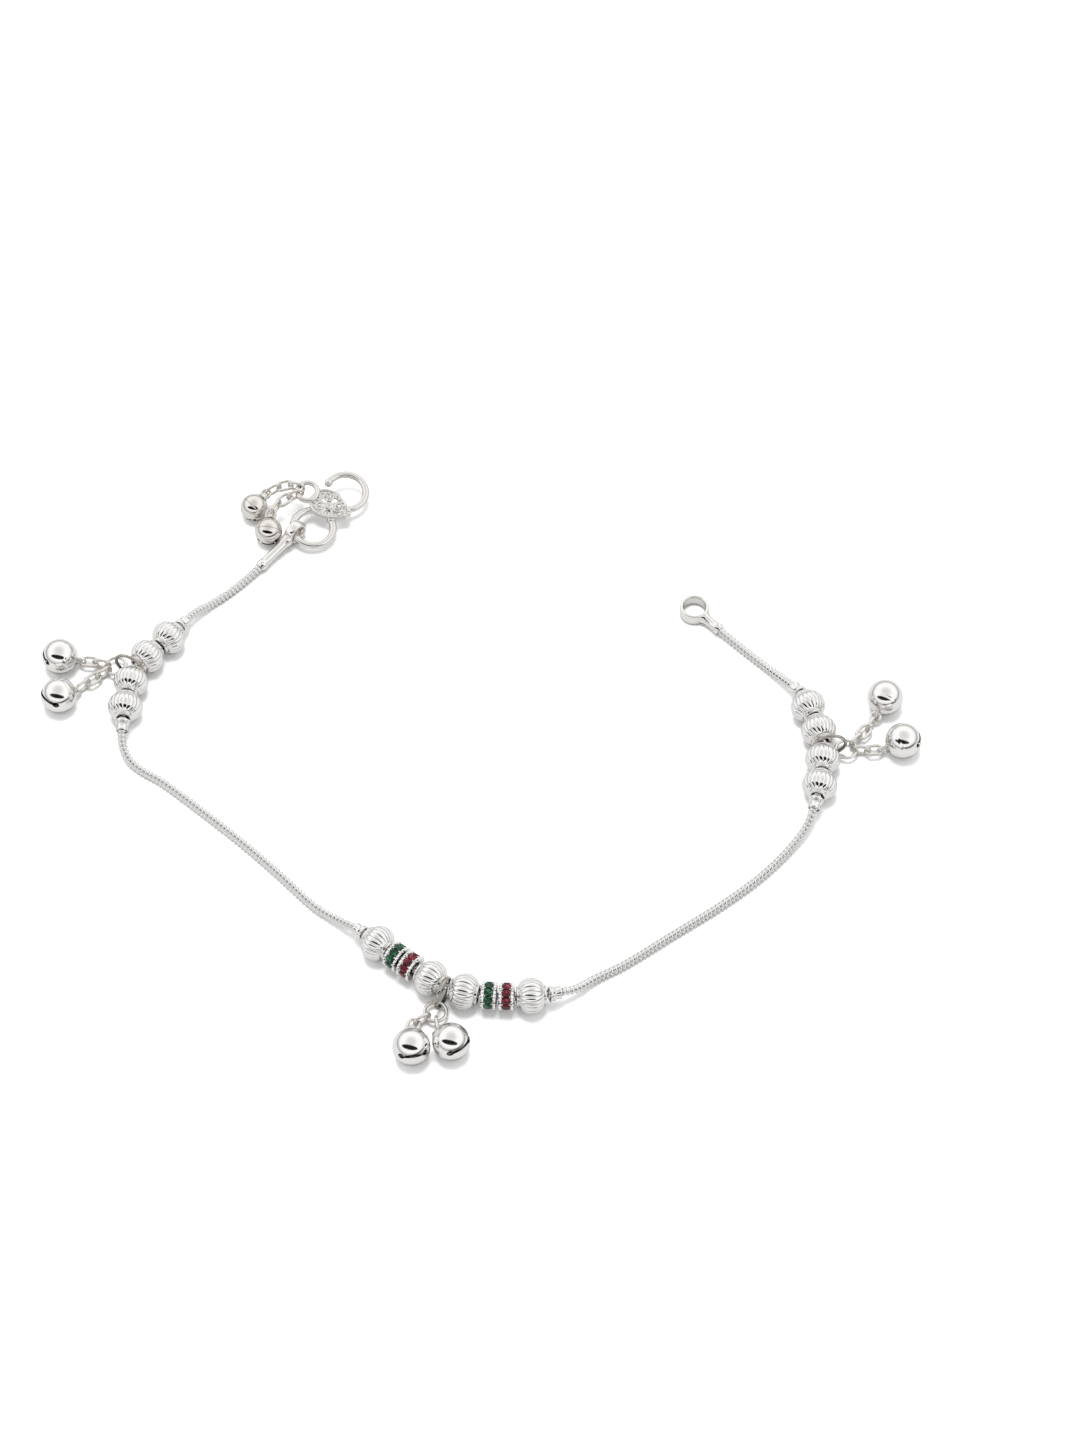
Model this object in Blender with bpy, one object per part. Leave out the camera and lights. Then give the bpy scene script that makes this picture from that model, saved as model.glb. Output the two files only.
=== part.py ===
"""Silver payal anklet, lying open on a table with both ends free.

A snake chain runs through three groups of beads. Each group holds a jump ring
with two round bells. The centre group also carries four stone rondelles. One end
has a plain band ring, the other an eye round an S hook with a leaf plate.
All sizes are in metres. +X is to the right, +Y away from the viewer, +Z up.
"""

import math

import bmesh
import bpy
from mathutils import Matrix, Vector

# Clearances
PLAY = 0.0003
BORE_PLAY = 0.0004
CAP_PLAY = 0.0002
TABLE_PLAY = 0.00005

# Snake chain
CHAIN_DIAMETER = 0.0015
CHAIN_STEP = 0.0031

# Fluted beads
BEAD_DIAMETER = 0.0061
BEAD_LENGTH = 0.00495
COLLAR_DIAMETER = 0.0029
COLLAR_LENGTH = 0.0002
COLLAR_STEP = 0.0003
BEAD_SIDES = 12
BEAD_SPACING = 0.0004
RONDELLE_SPACING = 0.0003

# Stone rondelles
RONDELLE_DIAMETER = 0.0048
RONDELLE_LENGTH = 0.00255
RONDELLE_RIM = 0.00045
RONDELLE_WAVE = 0.00022
RONDELLE_STONES = 10
STONE_SEAT_DEPTH = 0.00045
STONE_HEIGHT = 0.0002
STONE_TABLE = 0.55

# End caps of the bead groups
CAP_LENGTH = 0.0020
CAP_DIAMETER = 0.0027
CAP_WAIST = 0.00225
CAP_LIP = 0.00045
CAP_SIDES = 10

# Jump rings and links of the bell drops
RING_DIAMETER = 0.0058
RING_WIRE = 0.0005
RING_ROOM = 0.0011
CONNECTOR_DIAMETER = 0.0042
LINK_LENGTH = 0.0035
LINK_WIDTH = 0.0024
LINK_WIRE = 0.0005
RING_SIDES = 14
LINK_SIDES = 10
WIRE_SIDES = 5

# Bells
BELL_DIAMETER = 0.0062
CLASP_BELL_DIAMETER = 0.0049
BELL_WALL = 0.0004
BELL_RINGS = 8
HOLLOW_SIDES = 8
HOLLOW_RINGS = 6
BELL_SLIT_WIDTH = 0.0005
BELL_SLIT_HOLE = 0.00095
BELL_SLIT_SHARE = 0.62
BELL_LOOP_REACH = 0.0016
BELL_LOOP_WIDTH = 0.0021
BELL_LOOP_WIRE = 0.0005
BELL_SPACING = 0.0001
BELL_SIDES = 12

# Plain band ring at the free end
END_RING_DIAMETER = 0.0052
END_RING_WALL = 0.0007
END_RING_HEIGHT = 0.0023
END_NECK_LENGTH = 0.0034
BAND_SIDES = 16

# Eye at the clasp end
EYE_DIAMETER = 0.0044
EYE_WALL = 0.00075
EYE_WIDTH = 0.0018
EYE_NECK_LENGTH = 0.0068
NECK_DIAMETER = 0.0021
NECK_WAIST = 0.0017
NECK_SIDES = 10

# S hook with its leaf plate and bell ring
HOOK_WIRE = 0.0013
HOOK_LOOP_DIAMETER = 0.0085
HOOK_CENTRES = 0.0094
HOOK_LINE_ANGLE = math.radians(53)
HOOK_OPEN_END = math.radians(150)
HOOK_EYE_END = math.radians(388)
HOOK_EYE_ANGLE = math.radians(198)
HOOK_EYE_SLIP = 0.0003
HOOK_TILT_BACK = math.radians(9)
HOOK_TILT_SIDE = math.radians(4)
HOOK_TIP_DIAMETER = 0.0016
HOOK_WIRE_SIDES = 8
LEAF_LENGTH = 0.0080
LEAF_WIDTH = 0.0068
LEAF_THICKNESS = 0.0005
LEAF_TURN = math.radians(-28)
LEAF_CENTRE = (0.0002, 0.0004)
LEAF_SIDES = 20
LEAF_POINT = 0.7
LEAF_HOLES = 6
LEAF_HOLE_SIDES = 8
LEAF_HOLE_DIAMETER = 0.0011
LEAF_HOLE_RING = (0.0033, 0.0025)
GRAIN_DIAMETER = 0.0009
GRAIN_ANGLES = (-52, -26, 0, 26, 52)
GRAIN_RING = (0.0074, 0.0027)
BELL_RING_DIAMETER = 0.0046
BELL_RING_WIRE = 0.0010
BELL_RING_CENTRE = (-0.0040, 0.0030)

# Chosen points of the chain's route: x, y, how far it has risen from the table
# to the beads' axis (0 to 1), and the group of beads whose middle is there
ROUTE = [
    (-0.0494, 0.0324, 0.12, ""),
    (-0.0519, 0.0296, 0.02, ""),
    (-0.0551, 0.0264, 0.00, ""),
    (-0.0581, 0.0238, 0.12, ""),
    (-0.0606, 0.0212, 0.55, ""),
    (-0.0632, 0.0171, 0.95, ""),
    (-0.0660, 0.0135, 1.00, ""),
    (-0.0684, 0.0110, 1.00, ""),
    (-0.0697, 0.0088, 1.00, "left"),
    (-0.0705, 0.0063, 1.00, ""),
    (-0.0711, 0.0008, 1.00, ""),
    (-0.0714, -0.0033, 0.92, ""),
    (-0.0712, -0.0066, 0.45, ""),
    (-0.0698, -0.0093, 0.10, ""),
    (-0.0673, -0.0114, 0.00, ""),
    (-0.0646, -0.0131, 0.00, ""),
    (-0.0573, -0.0192, 0.00, ""),
    (-0.0497, -0.0260, 0.00, ""),
    (-0.0434, -0.0322, 0.00, ""),
    (-0.0373, -0.0385, 0.04, ""),
    (-0.0335, -0.0414, 0.30, ""),
    (-0.0301, -0.0440, 0.85, ""),
    (-0.0264, -0.0471, 1.00, ""),
    (-0.0182, -0.0534, 1.00, ""),
    (-0.0152, -0.0551, 1.00, "centre"),
    (-0.0120, -0.0563, 1.00, ""),
    (-0.0016, -0.0570, 1.00, ""),
    (0.0029, -0.0562, 0.92, ""),
    (0.0058, -0.0549, 0.50, ""),
    (0.0091, -0.0524, 0.08, ""),
    (0.0139, -0.0496, 0.00, ""),
    (0.0214, -0.0443, 0.00, ""),
    (0.0308, -0.0376, 0.00, ""),
    (0.0372, -0.0322, 0.00, ""),
    (0.0418, -0.0272, 0.10, ""),
    (0.0448, -0.0232, 0.50, ""),
    (0.0461, -0.0201, 0.93, ""),
    (0.0472, -0.0161, 1.00, ""),
    (0.0481, -0.0099, 1.00, ""),
    (0.0481, -0.0073, 1.00, "right"),
    (0.0477, -0.0047, 1.00, ""),
    (0.0461, 0.0006, 1.00, ""),
    (0.0443, 0.0042, 0.92, ""),
    (0.0420, 0.0074, 0.45, ""),
    (0.0397, 0.0101, 0.08, ""),
    (0.0360, 0.0138, 0.00, ""),
    (0.0313, 0.0185, 0.08, ""),
]

# Headings in degrees seen from above: where each drop leaves the chain, and for
# each bell the headings of its links and then of the bell itself
DROPS = {
    "left": {"out": 200, "bells": [("upper", (168, 176), 184), ("lower", (216, 219, 221), 223)]},
    "centre": {"out": 260, "bells": [("left", (212, 246), 280), ("right", (276,), 311)]},
    "right": {"out": 6, "bells": [("upper", (48, 52, 56), 60), ("lower", (-4, 4), 10)]},
}

# Drops of the hook's bell ring: heading of the place on the ring, headings and
# climbs of the links, and the bell's heading
CLASP_DROPS = [
    ("upper", 151, ((161, -6), (189, -10), (209, -12)), 225),
    ("lower", 197, ((202, -6), (216, -10), (238, -12)), 264),
]

SILVER = (0.93, 0.92, 0.90, 1.0)
GREEN_STONE = (0.01, 0.12, 0.05, 1.0)
RED_STONE = (0.16, 0.01, 0.03, 1.0)


def clear_scene():
    for obj in list(bpy.data.objects):
        bpy.data.objects.remove(obj, do_unlink=True)


def finish_material(name, colour, roughness, metallic):
    material = bpy.data.materials.new(name)
    material.use_nodes = True
    shader = material.node_tree.nodes["Principled BSDF"]
    shader.inputs["Base Color"].default_value = colour
    shader.inputs["Roughness"].default_value = roughness
    shader.inputs["Metallic"].default_value = metallic
    return material


def silver(name):
    return finish_material(name + "_silver", SILVER, 0.12, 1.0)


# Meshes and objects

def mesh_from(name, bm):
    bmesh.ops.recalc_face_normals(bm, faces=bm.faces[:])
    mesh = bpy.data.meshes.new(name)
    bm.to_mesh(mesh)
    bm.free()
    mesh.shade_smooth()
    mesh.set_sharp_from_angle(angle=math.radians(40))
    return mesh


def add_object(name, mesh, materials, root, frame):
    obj = bpy.data.objects.new(name, mesh)
    bpy.context.scene.collection.objects.link(obj)
    if not mesh.materials:
        for material in materials:
            mesh.materials.append(material)
    obj.parent = root
    obj.location = frame.to_translation()
    obj.rotation_euler = frame.to_euler()
    return obj


def joined(base, others, operation):
    """The mesh of base with the other meshes joined to it or cut from it."""
    holder = bpy.data.objects.new("work", base)
    bpy.context.scene.collection.objects.link(holder)
    tools = []
    for mesh in others:
        tool = bpy.data.objects.new("tool", mesh)
        tool.hide_render = True
        tool.display_type = "WIRE"
        bpy.context.scene.collection.objects.link(tool)
        boolean = holder.modifiers.new("join", "BOOLEAN")
        boolean.object = tool
        boolean.operation = operation
        boolean.solver = "EXACT"
        tools.append(tool)
    seen = holder.evaluated_get(bpy.context.evaluated_depsgraph_get())
    result = bpy.data.meshes.new_from_object(seen)
    for obj in [holder, *tools]:
        bpy.data.objects.remove(obj, do_unlink=True)
    result.shade_smooth()
    result.set_sharp_from_angle(angle=math.radians(40))
    return result


def turned(name, profile, sides):
    """A closed profile of (along, radius) points turned round the X axis."""
    bm = bmesh.new()
    rings = []
    for step in range(sides):
        angle = 2 * math.pi * step / sides
        rings.append([bm.verts.new((x, r * math.cos(angle), r * math.sin(angle))) for x, r in profile])
    count = len(profile)
    for step in range(sides):
        here = rings[step]
        there = rings[(step + 1) % sides]
        for i in range(count):
            j = (i + 1) % count
            bm.faces.new((here[i], here[j], there[j], there[i]))
    return mesh_from(name, bm)


def solid_turned(name, profile, sides):
    """An open profile of (along, radius) points turned round X, with flat ends."""
    bm = bmesh.new()
    rings = []
    for x, r in profile:
        ring = []
        for step in range(sides):
            angle = 2 * math.pi * step / sides
            ring.append(bm.verts.new((x, r * math.cos(angle), r * math.sin(angle))))
        rings.append(ring)
    for here, there in zip(rings, rings[1:]):
        for i in range(sides):
            j = (i + 1) % sides
            bm.faces.new((here[i], here[j], there[j], there[i]))
    bm.faces.new(rings[0])
    bm.faces.new(rings[-1])
    return mesh_from(name, bm)


def wire(name, path, wire_diameter, sides, closed):
    """A round wire along a flat path in the XY plane."""
    bm = bmesh.new()
    count = len(path)
    rings = []
    for i, point in enumerate(path):
        before = path[i - 1] if closed or i else point
        after = path[(i + 1) % count] if closed or i < count - 1 else point
        along = (after - before).normalized()
        side = along.cross(Vector((0, 0, 1)))
        ring = []
        for step in range(sides):
            angle = 2 * math.pi * step / sides
            offset = side * math.cos(angle) + Vector((0, 0, 1)) * math.sin(angle)
            ring.append(bm.verts.new(point + offset * wire_diameter / 2))
        rings.append(ring)
    pairs = list(zip(rings, rings[1:]))
    if closed:
        pairs.append((rings[-1], rings[0]))
    for here, there in pairs:
        for i in range(sides):
            j = (i + 1) % sides
            bm.faces.new((here[i], here[j], there[j], there[i]))
    if not closed:
        bm.faces.new(rings[0])
        bm.faces.new(rings[-1])
    return mesh_from(name, bm)


def oval(length, width, count):
    """Centre points of a link whose wire centres span length by width."""
    points = []
    for step in range(count):
        angle = 2 * math.pi * step / count
        shift = math.copysign((length - width) / 2, math.cos(angle))
        points.append(Vector((shift + width / 2 * math.cos(angle), width / 2 * math.sin(angle), 0)))
    return points


def ball(name, diameter, sides, rings, centre=(0, 0, 0)):
    bm = bmesh.new()
    bmesh.ops.create_uvsphere(bm, u_segments=sides, v_segments=rings, radius=diameter / 2)
    turn = Matrix.Rotation(math.radians(90), 4, "Y")
    bmesh.ops.transform(bm, matrix=Matrix.Translation(centre) @ turn, verts=bm.verts[:])
    return mesh_from(name, bm)


def aimed(along, origin, flat=True):
    """A frame with X along a direction and Y level, or Y upright if not flat."""
    x = along.normalized()
    y = Vector((0, 0, 1)).cross(x).normalized()
    z = x.cross(y)
    frame = Matrix((x, y, z)).transposed().to_4x4()
    frame.translation = origin
    if not flat:
        frame = frame @ Matrix.Rotation(math.radians(90), 4, "X")
    return frame


def heading(azimuth, climb=0.0):
    """A unit direction from an azimuth and a climb in degrees."""
    a = math.radians(azimuth)
    c = math.radians(climb)
    return Vector((math.cos(a) * math.cos(c), math.sin(a) * math.cos(c), math.sin(c)))


# The chain's route as one smooth curve

class Route:
    def __init__(self, rows):
        low = CHAIN_DIAMETER / 2
        high = BEAD_DIAMETER / 2
        points = [Vector((x, y, low + (high - low) * rise)) for x, y, rise, _ in rows]
        self.points = [points[0]]
        self.lengths = [0.0]
        self.marks = {}
        ends = [points[0] * 2 - points[1], *points, points[-1] * 2 - points[-2]]
        for i, row in enumerate(rows):
            if row[3]:
                self.marks[row[3]] = self.lengths[-1]
            if i < len(rows) - 1:
                self.add_span(ends[i:i + 4])
        self.total = self.lengths[-1]

    def add_span(self, four, steps=12):
        knots = [0.0]
        for a, b in zip(four, four[1:]):
            knots.append(knots[-1] + math.sqrt((b - a).length))
        for step in range(1, steps + 1):
            t = knots[1] + (knots[2] - knots[1]) * step / steps
            layer = list(four)
            for depth in range(1, 4):
                nxt = []
                for i in range(len(layer) - 1):
                    left, right = self.span_of(i, depth, knots)
                    share = (t - left) / (right - left)
                    nxt.append(layer[i].lerp(layer[i + 1], share))
                layer = nxt
            self.lengths.append(self.lengths[-1] + (layer[0] - self.points[-1]).length)
            self.points.append(layer[0])

    @staticmethod
    def span_of(i, depth, knots):
        if depth == 1:
            return knots[i], knots[i + 1]
        if depth == 2:
            return knots[i], knots[i + 2]
        return knots[1], knots[2]

    def at(self, station):
        for i in range(1, len(self.points)):
            if station <= self.lengths[i] or i == len(self.points) - 1:
                share = (station - self.lengths[i - 1]) / (self.lengths[i] - self.lengths[i - 1])
                return self.points[i - 1].lerp(self.points[i], share)
        return self.points[-1]

    def along(self, station, half=0.0005):
        return (self.at(station + half) - self.at(station - half)).normalized()

    def seat(self, station, length):
        """The frame of a straight piece threaded on the chain."""
        start = self.at(station - length / 2)
        end = self.at(station + length / 2)
        centre = (start + end) / 4 + self.at(station) / 2
        return aimed(end - start, centre)


def make_chain(route, root):
    curve = bpy.data.curves.new("snake_chain", "CURVE")
    curve.dimensions = "3D"
    curve.bevel_depth = CHAIN_DIAMETER / 2
    curve.bevel_resolution = 2
    curve.use_fill_caps = True
    count = math.ceil((route.total - 2 * PLAY) / CHAIN_STEP) + 1
    spline = curve.splines.new("POLY")
    spline.points.add(count - 1)
    for i in range(count):
        station = PLAY + (route.total - 2 * PLAY) * i / (count - 1)
        spline.points[i].co = (*route.at(station), 1.0)
    curve.materials.append(silver("snake_chain"))
    obj = bpy.data.objects.new("snake_chain", curve)
    bpy.context.scene.collection.objects.link(obj)
    obj.parent = root


# Beads, rondelles and caps

def bead_mesh():
    radius = BEAD_DIAMETER / 2
    bore = CHAIN_DIAMETER / 2 + BORE_PLAY
    collar = COLLAR_DIAMETER / 2
    half = BEAD_LENGTH / 2
    belly = half - COLLAR_LENGTH
    widest = math.acos((collar + COLLAR_STEP) / radius)
    profile = [(-half, bore), (-half, collar), (-belly, collar)]
    for share in (-1.0, -0.5, 0.0, 0.5, 1.0):
        profile.append((belly * math.sin(widest * share) / math.sin(widest), radius * math.cos(widest * share)))
    profile += [(belly, collar), (half, collar), (half, bore)]
    return turned("bead", profile, BEAD_SIDES)


def rondelle_mesh(name):
    """Two wavy rims with a row of cut stones between them, all round the bore."""
    bore = CHAIN_DIAMETER / 2 + BORE_PLAY
    half = RONDELLE_LENGTH / 2
    seat_half = half - RONDELLE_RIM
    crest = RONDELLE_DIAMETER / 2
    seat = crest - STONE_SEAT_DEPTH
    columns = 2 * RONDELLE_STONES
    bm = bmesh.new()

    def corner(x, r, column):
        angle = 2 * math.pi * column / columns
        return Vector((x, r * math.cos(angle), r * math.sin(angle)))

    def ring(x, radius, every=1):
        rows = {}
        for column in range(0, columns, every):
            wave = RONDELLE_WAVE * (column % 2) if radius == crest else 0.0
            rows[column] = bm.verts.new(corner(x, radius - wave, column))
        return rows

    for side in (-1, 1):
        inner = ring(side * half, bore)
        outer = ring(side * half, crest)
        shoulder = ring(side * seat_half, crest)
        base = ring(side * seat_half, seat, 2)
        for column in range(columns):
            nxt = (column + 1) % columns
            bm.faces.new((inner[column], inner[nxt], outer[nxt], outer[column]))
            bm.faces.new((outer[column], outer[nxt], shoulder[nxt], shoulder[column]))
        for column in range(0, columns, 2):
            mid = column + 1
            nxt = (column + 2) % columns
            bm.faces.new((shoulder[column], shoulder[mid], shoulder[nxt], base[nxt], base[column]))
        if side < 0:
            inner_left, base_left = inner, base
    for column in range(columns):
        nxt = (column + 1) % columns
        bm.faces.new((inner_left[column], inner_left[nxt], inner[nxt], inner[column]))
    stone_faces = []
    for column in range(0, columns, 2):
        nxt = (column + 2) % columns
        seat_corners = [base_left[column], base_left[nxt], base[nxt], base[column]]
        stone_faces += cut_stone(bm, seat_corners)
    for face in stone_faces:
        face.material_index = 1
    return mesh_from(name, bm)


def cut_stone(bm, corners):
    """Eight crown facets and a table over the four corners of a seat."""
    middle = sum((v.co for v in corners), Vector()) / 4
    up = (corners[1].co - corners[0].co).cross(corners[3].co - corners[0].co).normalized()
    if up.dot(Vector((0, middle.y, middle.z))) < 0:
        up = -up
    table = []
    for i, vert in enumerate(corners):
        for other in (corners[i - 1], corners[(i + 1) % 4]):
            toward = vert.co.lerp(other.co, 0.3)
            table.append(bm.verts.new(middle.lerp(toward, STONE_TABLE) + up * STONE_HEIGHT))
    faces = [bm.faces.new(table)]
    for i in range(4):
        j = (i + 1) % 4
        faces.append(bm.faces.new((corners[i], table[2 * i], table[2 * i + 1])))
        faces.append(bm.faces.new((corners[i], table[2 * i + 1], table[2 * j], corners[j])))
    return faces


def cap_mesh():
    bore = CHAIN_DIAMETER / 2 + CAP_PLAY
    rim = CAP_DIAMETER / 2
    waist = CAP_WAIST / 2
    half = CAP_LENGTH / 2
    profile = [
        (-half, bore),
        (-half, rim),
        (-half + CAP_LIP, rim),
        (0.0, waist),
        (half, waist),
        (half, bore),
    ]
    return turned("cap", profile, CAP_SIDES)


def string_pieces(route, root):
    bead = bead_mesh()
    cap = cap_mesh()
    bead_silver = silver("bead")
    cap_silver = silver("cap")
    rim_silver = silver("rondelle")
    stones = {
        "green": finish_material("green_stone", GREEN_STONE, 0.08, 0.0),
        "red": finish_material("red_stone", RED_STONE, 0.08, 0.0),
    }
    rondelles = {colour: rondelle_mesh(colour + "_rondelle") for colour in stones}
    order = {
        "left": (("bead", "bead"), ("bead", "bead")),
        "centre": (("bead", "red", "green", "bead"), ("bead", "green", "red", "bead")),
        "right": (("bead", "bead"), ("bead", "bead")),
    }
    for group, sides in order.items():
        for way, side_name, kinds in ((-1, "a", sides[0]), (1, "b", sides[1])):
            edge = route.marks[group] + way * RING_ROOM / 2
            beads = 0
            for kind in kinds:
                length = BEAD_LENGTH if kind == "bead" else RONDELLE_LENGTH
                frame = route.seat(edge + way * length / 2, length)
                if kind == "bead":
                    beads += 1
                    add_object(f"{group}_bead_{side_name}{beads}", bead, [bead_silver], root, frame)
                else:
                    name = f"{kind}_rondelle_{side_name}"
                    add_object(name, rondelles[kind], [rim_silver, stones[kind]], root, frame)
                gap = BEAD_SPACING if kind == "bead" else RONDELLE_SPACING
                edge += way * (length + gap)
            frame = route.seat(edge + way * CAP_LENGTH / 2, CAP_LENGTH)
            if way < 0:
                frame = frame @ Matrix.Rotation(math.pi, 4, "Z")
            add_object(f"{group}_cap_{side_name}", cap, [cap_silver], root, frame)


# Bells and their links

def slit_cutter(radius, flat):
    """A slot with round ends through the bell's foot, level when it is hung."""
    reach = radius * BELL_SLIT_SHARE
    hole = BELL_SLIT_HOLE / 2
    half = BELL_SLIT_WIDTH / 2
    open_angle = math.asin(half / hole)
    outline = []
    for end in (1, -1):
        for step in range(5):
            angle = open_angle - math.pi + (2 * math.pi - 2 * open_angle) * step / 4
            outline.append((end * (reach + hole * math.cos(angle)), end * hole * math.sin(angle)))
    bm = bmesh.new()
    near = [bm.verts.new((0.0, y, z)) for y, z in outline]
    face = bm.faces.new(near)
    pushed = bmesh.ops.extrude_face_region(bm, geom=[face])
    moved = [item for item in pushed["geom"] if isinstance(item, bmesh.types.BMVert)]
    bmesh.ops.translate(bm, verts=moved, vec=(radius * 1.2, 0, 0))
    slit = mesh_from("slit", bm)
    if not flat:
        slit.transform(Matrix.Rotation(math.radians(90), 4, "X"))
    return slit


def bell_mesh(diameter, flat):
    """A hollow bell about the origin: loop towards -X, slit at +X."""
    radius = diameter / 2
    shell = ball("bell", diameter, BELL_SIDES, BELL_RINGS)
    hollow = ball("hollow", diameter - 2 * BELL_WALL, HOLLOW_SIDES, HOLLOW_RINGS)
    shell = joined(shell, [hollow, slit_cutter(radius, flat)], "DIFFERENCE")
    far = radius + BELL_LOOP_REACH
    near = radius - BELL_WALL / 3
    path = oval(far - near, BELL_LOOP_WIDTH - BELL_LOOP_WIRE, LINK_SIDES)
    path = [point - Vector(((far + near) / 2, 0, 0)) for point in path]
    loop = wire("loop", path, BELL_LOOP_WIRE, WIRE_SIDES, True)
    return joined(shell, [loop], "UNION")


def bell_pair(diameter):
    """The bell for a loop that lies flat, and the one for a loop that stands."""
    return {flat: bell_mesh(diameter, flat) for flat in (True, False)}


def turned_clear(point, azimuth, climb, reach, beside, diameter):
    """The bell's heading, turned away from the bell hung before it until it clears that one."""
    if not beside:
        return azimuth
    other, other_azimuth = beside
    step = math.copysign(1, azimuth - other_azimuth)
    for turn in range(180):
        centre = point + heading(azimuth + step * turn, climb) * reach
        if (centre - other).length >= diameter + BELL_SPACING:
            return azimuth + step * turn
    return azimuth


def hang_bell(name, start, holder_wire, flat, links, bell_azimuth, bells, diameter, parts, beside):
    """Links from the wire at start, then a bell that rests on the table beside the one before it."""
    link, materials, root = parts
    point = start
    held = holder_wire
    for number, (azimuth, climb) in enumerate(links, 1):
        along = heading(azimuth, climb)
        back = held / 2 + LINK_WIRE / 2 + PLAY
        span = LINK_LENGTH - LINK_WIRE
        frame = aimed(along, point + along * (span / 2 - back), flat)
        add_object(f"{name}_link_{number}", link, [materials["link"]], root, frame)
        point = point + along * (span - back)
        held = LINK_WIRE
        flat = not flat
    back = held / 2 + BELL_LOOP_WIRE / 2 + PLAY
    reach = diameter / 2 + BELL_LOOP_REACH - back
    climb = math.degrees(math.asin(max(-1.0, min(1.0, (diameter / 2 - point.z) / reach))))
    azimuth = turned_clear(point, bell_azimuth, climb, reach, beside, diameter)
    along = heading(azimuth, climb)
    centre = point + along * reach
    add_object(f"{name}_bell", bells[flat], [materials["bell"]], root, aimed(along, centre, flat))
    return centre, azimuth


def hang_drops(route, root, parts, bells):
    link, materials, _ = parts
    ring = wire("jump_ring", oval(RING_DIAMETER - RING_WIRE, RING_DIAMETER - RING_WIRE, RING_SIDES),
                RING_WIRE, WIRE_SIDES, True)
    connector = wire("connector", oval(CONNECTOR_DIAMETER - LINK_WIRE, CONNECTOR_DIAMETER - LINK_WIRE,
                                       RING_SIDES), LINK_WIRE, WIRE_SIDES, True)
    ring_radius = (RING_DIAMETER - RING_WIRE) / 2
    connector_radius = (CONNECTOR_DIAMETER - LINK_WIRE) / 2
    level = LINK_WIDTH / 2 + TABLE_PLAY
    for group, drop in DROPS.items():
        station = route.marks[group]
        axis = route.at(station)
        tangent = route.along(station)
        out = heading(drop["out"])
        out = (out - tangent * out.dot(tangent)).normalized()
        swing = ring_radius - RING_WIRE / 2 - CHAIN_DIAMETER / 2 - PLAY
        drop_share = max(-1.0, min(1.0, (axis.z - RING_DIAMETER / 2 - TABLE_PLAY) / swing))
        sag = math.asin(drop_share)
        centre = axis + out * swing * math.cos(sag) - Vector((0, 0, 1)) * swing * drop_share
        upright = Matrix((out, Vector((0, 0, 1)), out.cross(Vector((0, 0, 1))))).transposed().to_4x4()
        upright.translation = centre
        add_object(f"{group}_jump_ring", ring, [materials["link"]], root, upright)
        low = math.asin(max(-1.0, min(1.0, (centre.z - level) / ring_radius)))
        grip = centre + out * ring_radius * math.cos(low)
        grip.z = level
        back = (RING_WIRE / 2 + LINK_WIRE / 2 + PLAY) / math.cos(low)
        middle = grip + out * (connector_radius - back)
        add_object(f"{group}_connector", connector, [materials["link"]], root, aimed(out, middle))
        beside = None
        for side, azimuths, bell_azimuth in drop["bells"]:
            first = heading(azimuths[0])
            start = middle + first * connector_radius
            rows = [(azimuth, 0.0) for azimuth in azimuths]
            beside = hang_bell(f"{group}_{side}", start, LINK_WIRE, False, rows, bell_azimuth,
                               bells, BELL_DIAMETER, parts, beside)


# The two ends of the chain

def neck_mesh(length, bite):
    """A neck along +X from inside the band to the chain's end."""
    profile = [
        (-bite, NECK_DIAMETER / 2),
        (length * 0.2, NECK_DIAMETER / 2),
        (length * 0.55, NECK_WAIST / 2),
        (length * 0.85, NECK_WAIST / 2),
        (length * 0.88, NECK_DIAMETER / 2),
        (length, NECK_DIAMETER / 2),
    ]
    return solid_turned("neck", profile, NECK_SIDES)


def band_with_neck(name, diameter, wall, width, neck_length, upright):
    """A band ring about the origin and a neck that leaves it along -X."""
    outer = diameter / 2
    inner = outer - wall
    half = width / 2
    round_off = wall / 3
    profile = [
        (-half, inner),
        (-half, outer - round_off),
        (-half + round_off, outer),
        (half - round_off, outer),
        (half, outer - round_off),
        (half, inner),
    ]
    band = turned(name, profile, BAND_SIDES)
    stand = Matrix.Rotation(math.radians(90), 4, "Z" if upright else "Y")
    band.transform(stand)
    neck = neck_mesh(neck_length, wall / 2)
    neck.transform(Matrix.Translation((-outer, 0, 0)) @ Matrix.Rotation(math.pi, 4, "Z"))
    return joined(band, [neck], "UNION")


def make_end_ring(route, root):
    mesh = band_with_neck("end_ring", END_RING_DIAMETER, END_RING_WALL, END_RING_HEIGHT,
                          END_NECK_LENGTH, False)
    along = route.along(route.total - 0.0005)
    along.z = 0
    along.normalize()
    centre = route.at(route.total) + along * (END_NECK_LENGTH + END_RING_DIAMETER / 2)
    centre.z = END_RING_HEIGHT / 2
    add_object("end_ring", mesh, [silver("end_ring")], root, aimed(along, centre))


def make_clasp_eye(route, root):
    mesh = band_with_neck("clasp_eye", EYE_DIAMETER, EYE_WALL, EYE_WIDTH, EYE_NECK_LENGTH, True)
    back = -route.along(0.0005)
    back.z = 0
    back.normalize()
    reach = EYE_NECK_LENGTH + EYE_DIAMETER / 2
    start = route.at(0.0)
    rise = EYE_DIAMETER / 2 + TABLE_PLAY - start.z
    along = (back * math.sqrt(reach ** 2 - rise ** 2) + Vector((0, 0, rise))).normalized()
    frame = aimed(along, start + along * reach)
    add_object("clasp_eye", mesh, [silver("clasp_eye")], root, frame)
    return frame


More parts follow.
